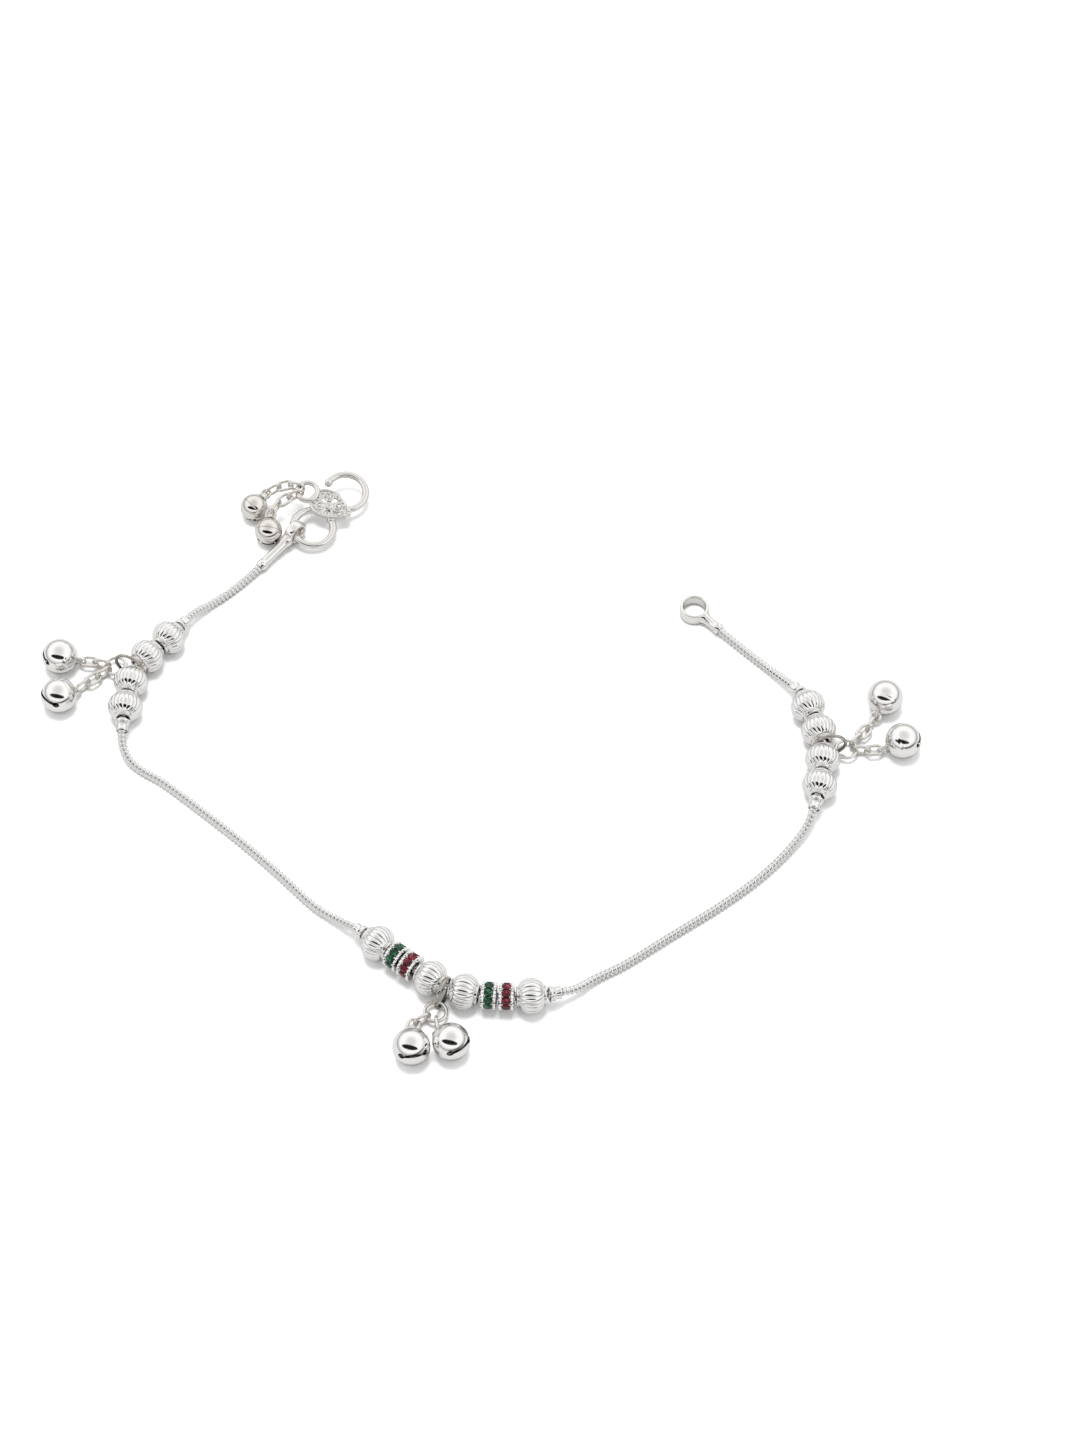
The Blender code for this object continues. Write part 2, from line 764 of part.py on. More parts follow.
def hook_path():
    """Centre points of the S, in its own plane, about the middle of the S."""
    radius = (HOOK_LOOP_DIAMETER - HOOK_WIRE) / 2
    line = Vector((math.cos(HOOK_LINE_ANGLE), math.sin(HOOK_LINE_ANGLE), 0)) * HOOK_CENTRES / 2
    lean = math.asin(min(1.0, 2 * radius / HOOK_CENTRES))
    cross = HOOK_LINE_ANGLE - lean
    first = cross - math.pi / 2
    last = cross + math.pi / 2
    upper = [first + (HOOK_OPEN_END - first) * i / 12 for i in range(12, -1, -1)]
    lower = [last + (HOOK_EYE_END - last) * i / 12 for i in range(13)]
    path = [line + Vector((math.cos(a), math.sin(a), 0)) * radius for a in upper]
    path += [Vector((math.cos(a), math.sin(a), 0)) * radius - line for a in lower]
    return path


def leaf_outline():
    """Teardrop with its point towards +X."""
    points = []
    for step in range(LEAF_SIDES):
        angle = 2 * math.pi * (step + 0.5) / LEAF_SIDES
        x = math.cos(angle) * LEAF_LENGTH / 2
        y = math.sin(angle) * abs(math.sin(angle / 2)) ** LEAF_POINT * LEAF_WIDTH / 2
        points.append(Vector((x, y, 0)))
    return points


def slab(name, outline, low, high):
    bm = bmesh.new()
    face = bm.faces.new([bm.verts.new((p.x, p.y, low)) for p in outline])
    pushed = bmesh.ops.extrude_face_region(bm, geom=[face])
    moved = [item for item in pushed["geom"] if isinstance(item, bmesh.types.BMVert)]
    bmesh.ops.translate(bm, verts=moved, vec=(0, 0, high - low))
    return mesh_from(name, bm)


def leaf_mesh():
    """The pierced leaf plate, lying on the hook's wire."""
    top = HOOK_WIRE / 2 + LEAF_THICKNESS
    low = HOOK_WIRE / 4
    plate = slab("leaf", leaf_outline(), low, top)
    holes = []
    for number in range(LEAF_HOLES):
        angle = 2 * math.pi * (number + 0.5) / LEAF_HOLES
        middle = Vector((math.cos(angle) * LEAF_HOLE_RING[0], math.sin(angle) * LEAF_HOLE_RING[1], 0)) / 2
        points = [middle + point for point in oval(LEAF_HOLE_DIAMETER, LEAF_HOLE_DIAMETER, LEAF_HOLE_SIDES)]
        holes.append(slab("hole", points, -HOOK_WIRE, top + HOOK_WIRE))
    return joined(plate, holes, "DIFFERENCE"), top


def make_hook(root, eye_frame):
    """The S wire, leaf plate, grains and bell ring, soldered into one piece."""
    path = hook_path()
    body = wire("s_hook", path, HOOK_WIRE, HOOK_WIRE_SIDES, False)
    tips = [ball("tip", HOOK_TIP_DIAMETER, 8, 5, point) for point in (path[0], path[-1])]
    leaf, top = leaf_mesh()
    turn = Matrix.Translation((*LEAF_CENTRE, 0)) @ Matrix.Rotation(LEAF_TURN, 4, "Z")
    leaf.transform(turn)
    grains = []
    for degrees in GRAIN_ANGLES:
        angle = math.radians(degrees)
        spot = Vector((math.cos(angle) * GRAIN_RING[0] / 2, math.sin(angle) * GRAIN_RING[1] / 2, top))
        grains.append(ball("grain", GRAIN_DIAMETER, 6, 4, turn @ spot))
    bell_ring_radius = (BELL_RING_DIAMETER - BELL_RING_WIRE) / 2
    ring = wire("bell_ring", oval(2 * bell_ring_radius, 2 * bell_ring_radius, RING_SIDES),
                BELL_RING_WIRE, 6, True)
    ring_place = Vector((*BELL_RING_CENTRE, top))
    ring.transform(Matrix.Translation(ring_place))
    mesh = joined(body, [*tips, leaf, *grains, ring], "UNION")
    radius = (HOOK_LOOP_DIAMETER - HOOK_WIRE) / 2
    line = Vector((math.cos(HOOK_LINE_ANGLE), math.sin(HOOK_LINE_ANGLE), 0)) * HOOK_CENTRES / 2
    reach = radius - HOOK_EYE_SLIP
    grip = Vector((math.cos(HOOK_EYE_ANGLE), math.sin(HOOK_EYE_ANGLE), 0)) * reach - line
    tilt = Matrix.Rotation(HOOK_TILT_BACK, 4, "X") @ Matrix.Rotation(HOOK_TILT_SIDE, 4, "Y")
    frame = Matrix.Translation(eye_frame.to_translation() - tilt @ grip) @ tilt
    add_object("s_hook", mesh, [silver("s_hook")], root, frame)
    return frame, frame @ ring_place, bell_ring_radius


def make_clasp(route, root, parts, bells):
    eye_frame = make_clasp_eye(route, root)
    frame, middle, ring_radius = make_hook(root, eye_frame)
    tilt = frame.to_3x3()
    beside = None
    for side, azimuth, links, bell_azimuth in CLASP_DROPS:
        start = middle + tilt @ heading(azimuth) * ring_radius
        beside = hang_bell(f"clasp_{side}", start, BELL_RING_WIRE, False, links, bell_azimuth,
                           bells, CLASP_BELL_DIAMETER, parts, beside)


def centre_on_table(root):
    """Move the whole anklet so its box stands on the origin."""
    bpy.context.view_layer.update()
    low = Vector((math.inf, math.inf, math.inf))
    high = -low
    graph = bpy.context.evaluated_depsgraph_get()
    for obj in root.children:
        seen = obj.evaluated_get(graph)
        mesh = seen.to_mesh()
        for vert in mesh.vertices:
            place = seen.matrix_world @ vert.co
            low = Vector(map(min, low, place))
            high = Vector(map(max, high, place))
        seen.to_mesh_clear()
    root.location = (-(low.x + high.x) / 2, -(low.y + high.y) / 2, -low.z)


def main():
    clear_scene()
    root = bpy.data.objects.new("anklet", None)
    bpy.context.scene.collection.objects.link(root)
    route = Route(ROUTE)
    make_chain(route, root)
    string_pieces(route, root)
    link = wire("link", oval(LINK_LENGTH - LINK_WIRE, LINK_WIDTH - LINK_WIRE, LINK_SIDES),
                LINK_WIRE, WIRE_SIDES, True)
    materials = {"link": silver("link"), "bell": silver("bell")}
    parts = (link, materials, root)
    hang_drops(route, root, parts, bell_pair(BELL_DIAMETER))
    make_end_ring(route, root)
    make_clasp(route, root, parts, bell_pair(CLASP_BELL_DIAMETER))
    centre_on_table(root)


main()
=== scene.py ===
"""Looks of a silver payal anklet that lies open on a white table.

A snake chain runs through three groups of fluted beads. Two round bells hang from
each group, and two more from the S hook's bunch. The pieces are placed along the
same route, and with the same sizes, as the solids. All sizes are in metres.
"""

import math

import bmesh
import bpy
from bpy.props import FloatProperty, FloatVectorProperty, IntProperty, PointerProperty
from mathutils import Matrix, Vector, noise


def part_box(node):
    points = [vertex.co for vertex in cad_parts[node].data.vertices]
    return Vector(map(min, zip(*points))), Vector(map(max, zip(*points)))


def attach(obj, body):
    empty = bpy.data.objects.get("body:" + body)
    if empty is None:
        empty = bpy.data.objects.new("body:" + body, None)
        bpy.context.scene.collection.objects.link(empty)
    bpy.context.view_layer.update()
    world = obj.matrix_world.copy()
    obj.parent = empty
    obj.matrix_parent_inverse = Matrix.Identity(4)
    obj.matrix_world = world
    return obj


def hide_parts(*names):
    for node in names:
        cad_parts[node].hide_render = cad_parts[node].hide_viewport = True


bl_info = {
    "name": "Payal Anklet",
    "version": (1, 0, 0),
    "blender": (4, 5, 0),
    "location": "View3D > Sidebar > Anklet",
    "description": "Builds a silver payal anklet with fluted beads, round bells and an S hook",
    "category": "Add Mesh",
}

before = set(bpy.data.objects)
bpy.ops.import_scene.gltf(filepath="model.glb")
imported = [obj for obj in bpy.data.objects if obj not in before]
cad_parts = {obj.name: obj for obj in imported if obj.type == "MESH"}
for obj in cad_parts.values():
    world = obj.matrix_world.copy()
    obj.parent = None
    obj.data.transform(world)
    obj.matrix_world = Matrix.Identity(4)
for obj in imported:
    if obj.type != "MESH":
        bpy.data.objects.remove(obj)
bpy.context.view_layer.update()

# Sizes and places that the looks share with the solids
PLAY = 0.0003
BORE_PLAY = 0.0004
TABLE_PLAY = 0.00005
HEADING_STEP = 0.0005
CHAIN_RADIUS = 0.00075
BEAD_RADIUS = 0.00305
BEAD_LENGTH = 0.00495
BEAD_SPACING = 0.0004
RONDELLE_RADIUS = 0.0024
RONDELLE_LENGTH = 0.00255
RONDELLE_SPACING = 0.0003
CAP_LENGTH = 0.0020
RING_DIAMETER = 0.0058
RING_WIRE = 0.0005
RING_ROOM = 0.0011
CONNECTOR_DIAMETER = 0.0042
LINK_LENGTH = 0.0035
LINK_WIDTH = 0.0024
LINK_WIRE = 0.0005
BELL_RADIUS = 0.0031
CLASP_BELL_RADIUS = 0.00245
BELL_LOOP_REACH = 0.0016
BELL_LOOP_WIDTH = 0.0021
BELL_LOOP_WIRE = 0.0005
BELL_SPACING = 0.0001
BELL_WALL = 0.0004
SLIT_WIDTH = 0.0005
SLIT_END_RADIUS = 0.000475
SLIT_REACH = 0.62
END_RING_RADIUS = 0.0026
END_RING_WALL = 0.0007
END_RING_HEIGHT = 0.0023
END_NECK_LENGTH = 0.0034
EYE_RADIUS = 0.0022
EYE_WALL = 0.00075
EYE_WIDTH = 0.0018
EYE_NECK_LENGTH = 0.0068
NECK_RADIUS = 0.00105
HOOK_WIRE = 0.0013
HOOK_LOOP_DIAMETER = 0.0085
HOOK_CENTRES = 0.0094
HOOK_LINE_ANGLE = math.radians(53)
HOOK_OPEN_END = math.radians(150)
HOOK_EYE_END = math.radians(388)
HOOK_EYE_ANGLE = math.radians(198)
HOOK_EYE_SLIP = 0.0003
HOOK_TILT_BACK = math.radians(9)
HOOK_TILT_SIDE = math.radians(4)
LEAF_LENGTH = 0.0080
LEAF_WIDTH = 0.0068
LEAF_TOP = 0.00115
LEAF_TURN = math.radians(-28)
LEAF_CENTRE = (0.0002, 0.0004)
LEAF_HOLES = 6
LEAF_HOLE_DIAMETER = 0.0011
LEAF_HOLE_RING = (0.0033, 0.0025)
BELL_RING_DIAMETER = 0.0046
BELL_RING_WIRE = 0.0010
BELL_RING_CENTRE = (-0.0040, 0.0030)

# Details that only the looks have
CHAIN_SIDES = 20
RIB_STEPS = 10
RIB_LEAN = 0.17
GAP_REACH = 0.28
BEAD_RIM_RADIUS = 0.00175
BEAD_RIM_LENGTH = 0.00042
BELLY_END_RADIUS = 0.0019
RONDELLE_RIM = 0.00056
SCALLOP_DEPTH = 0.00011
STONE_SEAT_DEPTH = 0.0006
CLAW_RADIUS = 0.00016
WIRE_GAIN = 0.0001
SEAM_REACH = 0.035
NECK_SLEEVE = PLAY * 1.2
HOOK_TIP_RADIUS = 0.0008
LEAF_RIM_WIRE = 0.0005
SCROLL_WIRE = 0.00036
SCROLL_END_RADIUS = 0.0003
SCROLL_STEPS = 40
RIM_GRAINS = 26
RIM_GRAIN_RADIUS = 0.00025
TIP_GRAIN_ARC = (0.0037, 0.00135)
TIP_GRAIN_ANGLES = (-52, -26, 0, 26, 52)

# The stage. Greys of the sky that the silver mirrors run from straight down (0) to straight up (1)
SKY_GREYS = ((0.0, 0.14), (0.12, 0.48), (0.25, 0.74), (0.42, 0.96), (0.76, 0.96), (0.95, 0.70), (1.0, 0.66))
SKY_STRENGTH = 1.12

# Dark oval cards: grey, azimuth and rise in degrees, distance, width and height
DARK_CARDS = {
    "front_card": (0.004, -104, 49, 0.45, 1.0, 0.22),
    "low_card": (0.03, -60, 9, 1.2, 2.6, 0.16),
}
KEY_PLACE = (-0.05, 0.13, 0.95)
KEY_DIAMETER = 0.45
KEY_POWER = 9.0
TABLE_SIDE = 12.0
WALL_RADIUS = 5.5
WALL_HEIGHT = 4.0
CAMERA_RISE = 55
CAMERA_DISTANCE = 0.637
CAMERA_LENS = 92.55

# A neck from its band outwards: share of the length, share of the radius, and how much painted shade darkens
# it
NECK_ROWS = ((0.0, 1.12, 0.0), (0.06, 1.0, 0.0), (0.16, 0.88, 0.0), (0.45, 0.82, 0.0), (0.8, 0.86, 0.0),
             (0.86, 0.9, 0.6), (0.88, 1.0, 0.0), (0.97, 1.0, 0.0), (1.0, 0.92, 0.0))

# Scrolls on the leaf: middle, first direction, turns (less than 0 turns back), outer and inner radius
SCROLLS = [
    ((0.0013, 0.0004), 2.6, 1.6, 0.00115, 0.0003),
    ((-0.0013, 0.0014), 0.4, -1.5, 0.00105, 0.00025),
    ((-0.0016, -0.0012), 5.6, 1.5, 0.0011, 0.00025),
    ((0.0002, -0.0019), 2.2, 1.4, 0.00075, 0.0002),
    ((0.0001, 0.0022), 4.2, -1.4, 0.0007, 0.0002),
    ((0.0026, -0.0002), 0.3, 1.2, 0.0006, 0.0002),
    ((-0.0028, 0.0001), 3.6, -1.2, 0.0006, 0.0002),
    ((-0.0002, -0.0004), 5.0, 1.1, 0.0005, 0.0002),
]

# Chosen points of the chain's route: x, y, how far it has risen from the table to
# the beads' axis (0 to 1), and the group of beads whose middle is there, if any
ROUTE = [
    (-0.0494, 0.0324, 0.12),
    (-0.0519, 0.0296, 0.02),
    (-0.0551, 0.0264, 0.00),
    (-0.0581, 0.0238, 0.12),
    (-0.0606, 0.0212, 0.55),
    (-0.0632, 0.0171, 0.95),
    (-0.0660, 0.0135, 1.00),
    (-0.0684, 0.0110, 1.00),
    (-0.0697, 0.0088, 1.00, "left"),
    (-0.0705, 0.0063, 1.00),
    (-0.0711, 0.0008, 1.00),
    (-0.0714, -0.0033, 0.92),
    (-0.0712, -0.0066, 0.45),
    (-0.0698, -0.0093, 0.10),
    (-0.0673, -0.0114, 0.00),
    (-0.0646, -0.0131, 0.00),
    (-0.0573, -0.0192, 0.00),
    (-0.0497, -0.0260, 0.00),
    (-0.0434, -0.0322, 0.00),
    (-0.0373, -0.0385, 0.04),
    (-0.0335, -0.0414, 0.30),
    (-0.0301, -0.0440, 0.85),
    (-0.0264, -0.0471, 1.00),
    (-0.0182, -0.0534, 1.00),
    (-0.0152, -0.0551, 1.00, "centre"),
    (-0.0120, -0.0563, 1.00),
    (-0.0016, -0.0570, 1.00),
    (0.0029, -0.0562, 0.92),
    (0.0058, -0.0549, 0.50),
    (0.0091, -0.0524, 0.08),
    (0.0139, -0.0496, 0.00),
    (0.0214, -0.0443, 0.00),
    (0.0308, -0.0376, 0.00),
    (0.0372, -0.0322, 0.00),
    (0.0418, -0.0272, 0.10),
    (0.0448, -0.0232, 0.50),
    (0.0461, -0.0201, 0.93),
    (0.0472, -0.0161, 1.00),
    (0.0481, -0.0099, 1.00),
    (0.0481, -0.0073, 1.00, "right"),
    (0.0477, -0.0047, 1.00),
    (0.0461, 0.0006, 1.00),
    (0.0443, 0.0042, 0.92),
    (0.0420, 0.0074, 0.45),
    (0.0397, 0.0101, 0.08),
    (0.0360, 0.0138, 0.00),
    (0.0313, 0.0185, 0.08),
]

# Headings in degrees seen from above: where each drop leaves the chain, and for
# each bell the headings of its links and then of the bell itself
DROPS = {
    "left": {"out": 200, "bells": [("upper", (168, 176), 184), ("lower", (216, 219, 221), 223)]},
    "centre": {"out": 260, "bells": [("left", (212, 246), 280), ("right", (276,), 311)]},
    "right": {"out": 6, "bells": [("upper", (48, 52, 56), 60), ("lower", (-4, 4), 10)]},
}

# Drops of the hook's bell ring: heading of the place on the ring, headings and
# climbs of the links, and the bell's heading
CLASP_DROPS = [
    ("upper", 151, ((161, -6), (189, -10), (209, -12)), 225),
    ("lower", 197, ((202, -6), (216, -10), (238, -12)), 264),
]

# What is threaded on the two sides of each group's middle, outwards
THREADED = {
    "left": (("bead", "bead"), ("bead", "bead")),
    "centre": (("bead", "red", "green", "bead"), ("bead", "green", "red", "bead")),
    "right": (("bead", "bead"), ("bead", "bead")),
}


# What a user would change

def small_length(name, description, default, least, most):
    return FloatProperty(name=name, description=description, default=default,
                         min=least, max=most, unit="LENGTH", precision=5)


def colour(name, description, default):
    return FloatVectorProperty(name=name, description=description, default=default,
                               size=3, min=0.0, max=1.0, subtype="COLOR")


class AnkletSizes(bpy.types.PropertyGroup):
    rib_pitch: small_length(
        "Chain rib pitch", "Distance between the snake chain's ribs", 0.0008, 0.0003, 0.002)
    rib_depth: small_length(
        "Chain rib depth", "Depth of the gaps between the snake chain's ribs", 0.0003, 0.0, 0.0004)
    flutes: IntProperty(
        name="Flutes", description="Lobes round each silver bead", default=20, min=8, max=36)
    flute_depth: small_length(
        "Flute depth", "Depth of the lines between a bead's lobes", 0.00014, 0.0, 0.0006)
    stones: IntProperty(
        name="Stones", description="Cut stones round each rondelle", default=10, min=6, max=16)
    seam_depth: small_length(
        "Bell seam", "Depth of the seam between the halves of a bell", 0.00004, 0.0, 0.0003)
    grain_diameter: small_length(
        "Grain", "Diameter of the large silver grains on the leaf plate", 0.0009, 0.0003, 0.0015)


class AnkletFinishes(bpy.types.PropertyGroup):
    silver: colour("Silver", "Colour of the polished silver", (0.93, 0.925, 0.91))
    # Warm silver is painted shade and reflection: a darker, warmer copy of the silver for the links and
    # rings, and partly for the hook and its bells
    warm_shade_silver: colour(
        "Warm silver", "Colour of the links and rings, and partly of the hook and its bells",
        (0.74, 0.68, 0.61))
    # Painted shade: the colour the silver is darkened to where it sits deep in lines, gaps and hollows
    recess_shade: colour(
        "Tarnish", "Colour of the silver that sits deep in lines and gaps", (0.09, 0.085, 0.08))
    green_stone: colour("Green stones", "Colour of the green cut stones", (0.003, 0.034, 0.014))
    red_stone: colour("Red stones", "Colour of the red cut stones", (0.075, 0.002, 0.008))
    table: colour("Table", "Colour of the white table", (0.96, 0.96, 0.96))
    table_in_silver: colour(
        "Table in the silver", "Colour of the table as the polished silver mirrors it", (0.46, 0.46, 0.46))
    polish: FloatProperty(
        name="Polish", description="Roughness of the mirror polish",
        default=0.06, min=0.0, max=1.0, subtype="FACTOR")


# Directions, frames and the chain's route

def aimed(along, origin, flat=True):
    """A frame with X along a direction and Y level, or Y upright if not flat."""
    x = along.normalized()
    y = Vector((0, 0, 1)).cross(x).normalized()
    z = x.cross(y)
    place = Matrix((x, y, z)).transposed().to_4x4()
    place.translation = origin
    if not flat:
        place = place @ Matrix.Rotation(math.radians(90), 4, "X")
    return place


def heading(azimuth, climb=0.0):
    """A unit direction from an azimuth and a climb in degrees."""
    a = math.radians(azimuth)
    c = math.radians(climb)
    return Vector((math.cos(a) * math.cos(c), math.sin(a) * math.cos(c), math.sin(c)))


def polar(angle, radius, z=0.0):
    """A point at an angle in radians and a radius from Z."""
    return Vector((math.cos(angle) * radius, math.sin(angle) * radius, z))


def turns(count, offset=0.0):
    """Angles of count equal steps of a full turn."""
    return [2 * math.pi * (step + offset) / count for step in range(count)]


def circle(count, radius, centre):
    """Points round a level circle."""
    return [Vector(centre) + polar(angle, radius) for angle in turns(count)]


class Route:
    """The chain's centre line as one smooth curve."""

    def __init__(self, rows):
        climb = BEAD_RADIUS - CHAIN_RADIUS
        points = [Vector((x, y, CHAIN_RADIUS + climb * rise)) for x, y, rise, *_ in rows]
        self.points = [points[0]]
        self.lengths = [0.0]
        self.marks = {}
        ends = [points[0] * 2 - points[1], *points, points[-1] * 2 - points[-2]]
        for i, row in enumerate(rows):
            for group in row[3:]:
                self.marks[group] = self.lengths[-1]
            if i < len(rows) - 1:
                self.add_span(ends[i:i + 4])
        self.total = self.lengths[-1]

    def add_span(self, four, steps=12):
        """Points between the middle two of four, on a curve that leaves no loops or kinks."""
        knots = [0.0]
        for a, b in zip(four, four[1:]):
            knots.append(knots[-1] + math.sqrt((b - a).length))
        for step in range(1, steps + 1):
            t = knots[1] + (knots[2] - knots[1]) * step / steps
            layer = list(four)
            for depth in range(1, 4):
                nxt = []
                for i in range(len(layer) - 1):
                    left, right = self.span_of(i, depth, knots)
                    nxt.append(layer[i].lerp(layer[i + 1], (t - left) / (right - left)))
                layer = nxt
            self.lengths.append(self.lengths[-1] + (layer[0] - self.points[-1]).length)
            self.points.append(layer[0])

    @staticmethod
    def span_of(i, depth, knots):
        if depth == 1:
            return knots[i], knots[i + 1]
        if depth == 2:
            return knots[i], knots[i + 2]
        return knots[1], knots[2]

    def at(self, station):
        """The point at a length along the chain."""
        low, high = 1, len(self.points) - 1
        while low < high:
            middle = (low + high) // 2
            if station <= self.lengths[middle]:
                high = middle
            else:
                low = middle + 1
        share = (station - self.lengths[low - 1]) / (self.lengths[low] - self.lengths[low - 1])
        return self.points[low - 1].lerp(self.points[low], share)

    def along(self, station, half=HEADING_STEP):
        return (self.at(station + half) - self.at(station - half)).normalized()

    def seat(self, station, length):
        """The frame of a straight piece threaded on the chain."""
        start = self.at(station - length / 2)
        end = self.at(station + length / 2)
        return aimed(end - start, (start + end) / 4 + self.at(station) / 2)


class Layout:
    """The frame of every piece, by the name of the solid it stands for."""

    def __init__(self):
        self.route = Route(ROUTE)
        self.frames = {}
        self.thread()
        self.hang_groups()
        self.fit_ends()
        low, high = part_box("left_bead_a1")
        self.shift = (low + high) / 2 - self.frames["left_bead_a1"].translation
        for node in self.frames:
            self.frames[node] = Matrix.Translation(self.shift) @ self.frames[node]

    def thread(self):
        """Beads, rondelles and caps, outwards from the middle of each group."""
        for group, sides in THREADED.items():
            for way, letter, kinds in ((-1, "a", sides[0]), (1, "b", sides[1])):
                edge = self.route.marks[group] + way * RING_ROOM / 2
                beads = 0
                for kind in kinds:
                    length = BEAD_LENGTH if kind == "bead" else RONDELLE_LENGTH
                    seat = self.route.seat(edge + way * length / 2, length)
                    if kind == "bead":
                        beads += 1
                        self.frames[f"{group}_bead_{letter}{beads}"] = seat
                    else:
                        self.frames[f"{kind}_rondelle_{letter}"] = seat
                    edge += way * (length + (BEAD_SPACING if kind == "bead" else RONDELLE_SPACING))
                seat = self.route.seat(edge + way * CAP_LENGTH / 2, CAP_LENGTH)
                if way < 0:
                    seat = seat @ Matrix.Rotation(math.pi, 4, "Z")
                self.frames[f"{group}_cap_{letter}"] = seat

    def hang(self, name, start, held, flat, links, azimuth, radius, beside):
        """Links from the wire at start, then a bell on the table, clear of the one before it."""
        point = start
        for number, (link_azimuth, link_climb) in enumerate(links, 1):
            along = heading(link_azimuth, link_climb)
            back = held / 2 + LINK_WIRE / 2 + PLAY
            span = LINK_LENGTH - LINK_WIRE
            self.frames[f"{name}_link_{number}"] = aimed(along, point + along * (span / 2 - back), flat)
            point = point + along * (span - back)
            held = LINK_WIRE
            flat = not flat
        back = held / 2 + BELL_LOOP_WIRE / 2 + PLAY
        reach = radius + BELL_LOOP_REACH - back
        climb = math.degrees(math.asin(max(-1.0, min(1.0, (radius - point.z) / reach))))
        if beside:
            first = azimuth
            step = math.copysign(1, azimuth - beside[1])
            while (point + heading(azimuth, climb) * reach - beside[0]).length < 2 * radius + BELL_SPACING:
                azimuth += step
                if abs(azimuth - first) >= 180:
                    break
        along = heading(azimuth, climb)
        centre = point + along * reach
        self.frames[f"{name}_bell"] = aimed(along, centre, flat)
        return centre, azimuth

    def hang_groups(self):
        """The jump ring, connector, links and bells of each group."""
        ring_radius = (RING_DIAMETER - RING_WIRE) / 2
        connector_radius = (CONNECTOR_DIAMETER - LINK_WIRE) / 2
        level = LINK_WIDTH / 2 + TABLE_PLAY
        up = Vector((0, 0, 1))
        for group, drop in DROPS.items():
            station = self.route.marks[group]
            axis = self.route.at(station)
            tangent = self.route.along(station)
            out = heading(drop["out"])
            out = (out - tangent * out.dot(tangent)).normalized()
            swing = ring_radius - RING_WIRE / 2 - CHAIN_RADIUS - PLAY
            share = max(-1.0, min(1.0, (axis.z - RING_DIAMETER / 2 - TABLE_PLAY) / swing))
            centre = axis + out * swing * math.cos(math.asin(share)) - up * swing * share
            upright = Matrix((out, up, out.cross(up))).transposed().to_4x4()
            upright.translation = centre
            self.frames[f"{group}_jump_ring"] = upright
            low = math.asin(max(-1.0, min(1.0, (centre.z - level) / ring_radius)))
            grip = centre + out * ring_radius * math.cos(low)
            grip.z = level
            back = (RING_WIRE / 2 + LINK_WIRE / 2 + PLAY) / math.cos(low)
            middle = grip + out * (connector_radius - back)
            self.frames[f"{group}_connector"] = aimed(out, middle)
            beside = None
            for side, azimuths, bell_azimuth in drop["bells"]:
                start = middle + heading(azimuths[0]) * connector_radius
                rows = [(azimuth, 0.0) for azimuth in azimuths]
                beside = self.hang(f"{group}_{side}", start, LINK_WIRE, False, rows, bell_azimuth,
                                   BELL_RADIUS, beside)

    def fit_ends(self):
        """The end ring, the clasp's eye, the S hook and the two drops of its bell ring."""
        route = self.route
        along = route.along(route.total - HEADING_STEP)
        along.z = 0
        along.normalize()
        centre = route.at(route.total) + along * (END_NECK_LENGTH + END_RING_RADIUS)
        centre.z = END_RING_HEIGHT / 2
        self.frames["end_ring"] = aimed(along, centre)
        back = -route.along(HEADING_STEP)
        back.z = 0
        back.normalize()
        reach = EYE_NECK_LENGTH + EYE_RADIUS
        start = route.at(0.0)
        rise = EYE_RADIUS + TABLE_PLAY - start.z
        along = (back * math.sqrt(reach ** 2 - rise ** 2) + Vector((0, 0, rise))).normalized()
        eye = aimed(along, start + along * reach)
        self.frames["clasp_eye"] = eye
        radius = (HOOK_LOOP_DIAMETER - HOOK_WIRE) / 2
        grip = polar(HOOK_EYE_ANGLE, radius - HOOK_EYE_SLIP) - polar(HOOK_LINE_ANGLE, HOOK_CENTRES / 2)
        tilt = Matrix.Rotation(HOOK_TILT_BACK, 4, "X") @ Matrix.Rotation(HOOK_TILT_SIDE, 4, "Y")
        hook = Matrix.Translation(eye.to_translation() - tilt @ grip) @ tilt
        self.frames["s_hook"] = hook
        middle = hook @ Vector((*BELL_RING_CENTRE, LEAF_TOP))
        ring_radius = (BELL_RING_DIAMETER - BELL_RING_WIRE) / 2
        beside = None
        for side, azimuth, links, bell_azimuth in CLASP_DROPS:
            start = middle + hook.to_3x3() @ heading(azimuth) * ring_radius
            beside = self.hang(f"clasp_{side}", start, BELL_RING_WIRE, False, links, bell_azimuth,
                               CLASP_BELL_RADIUS, beside)


LAYOUT = Layout()


# Meshes

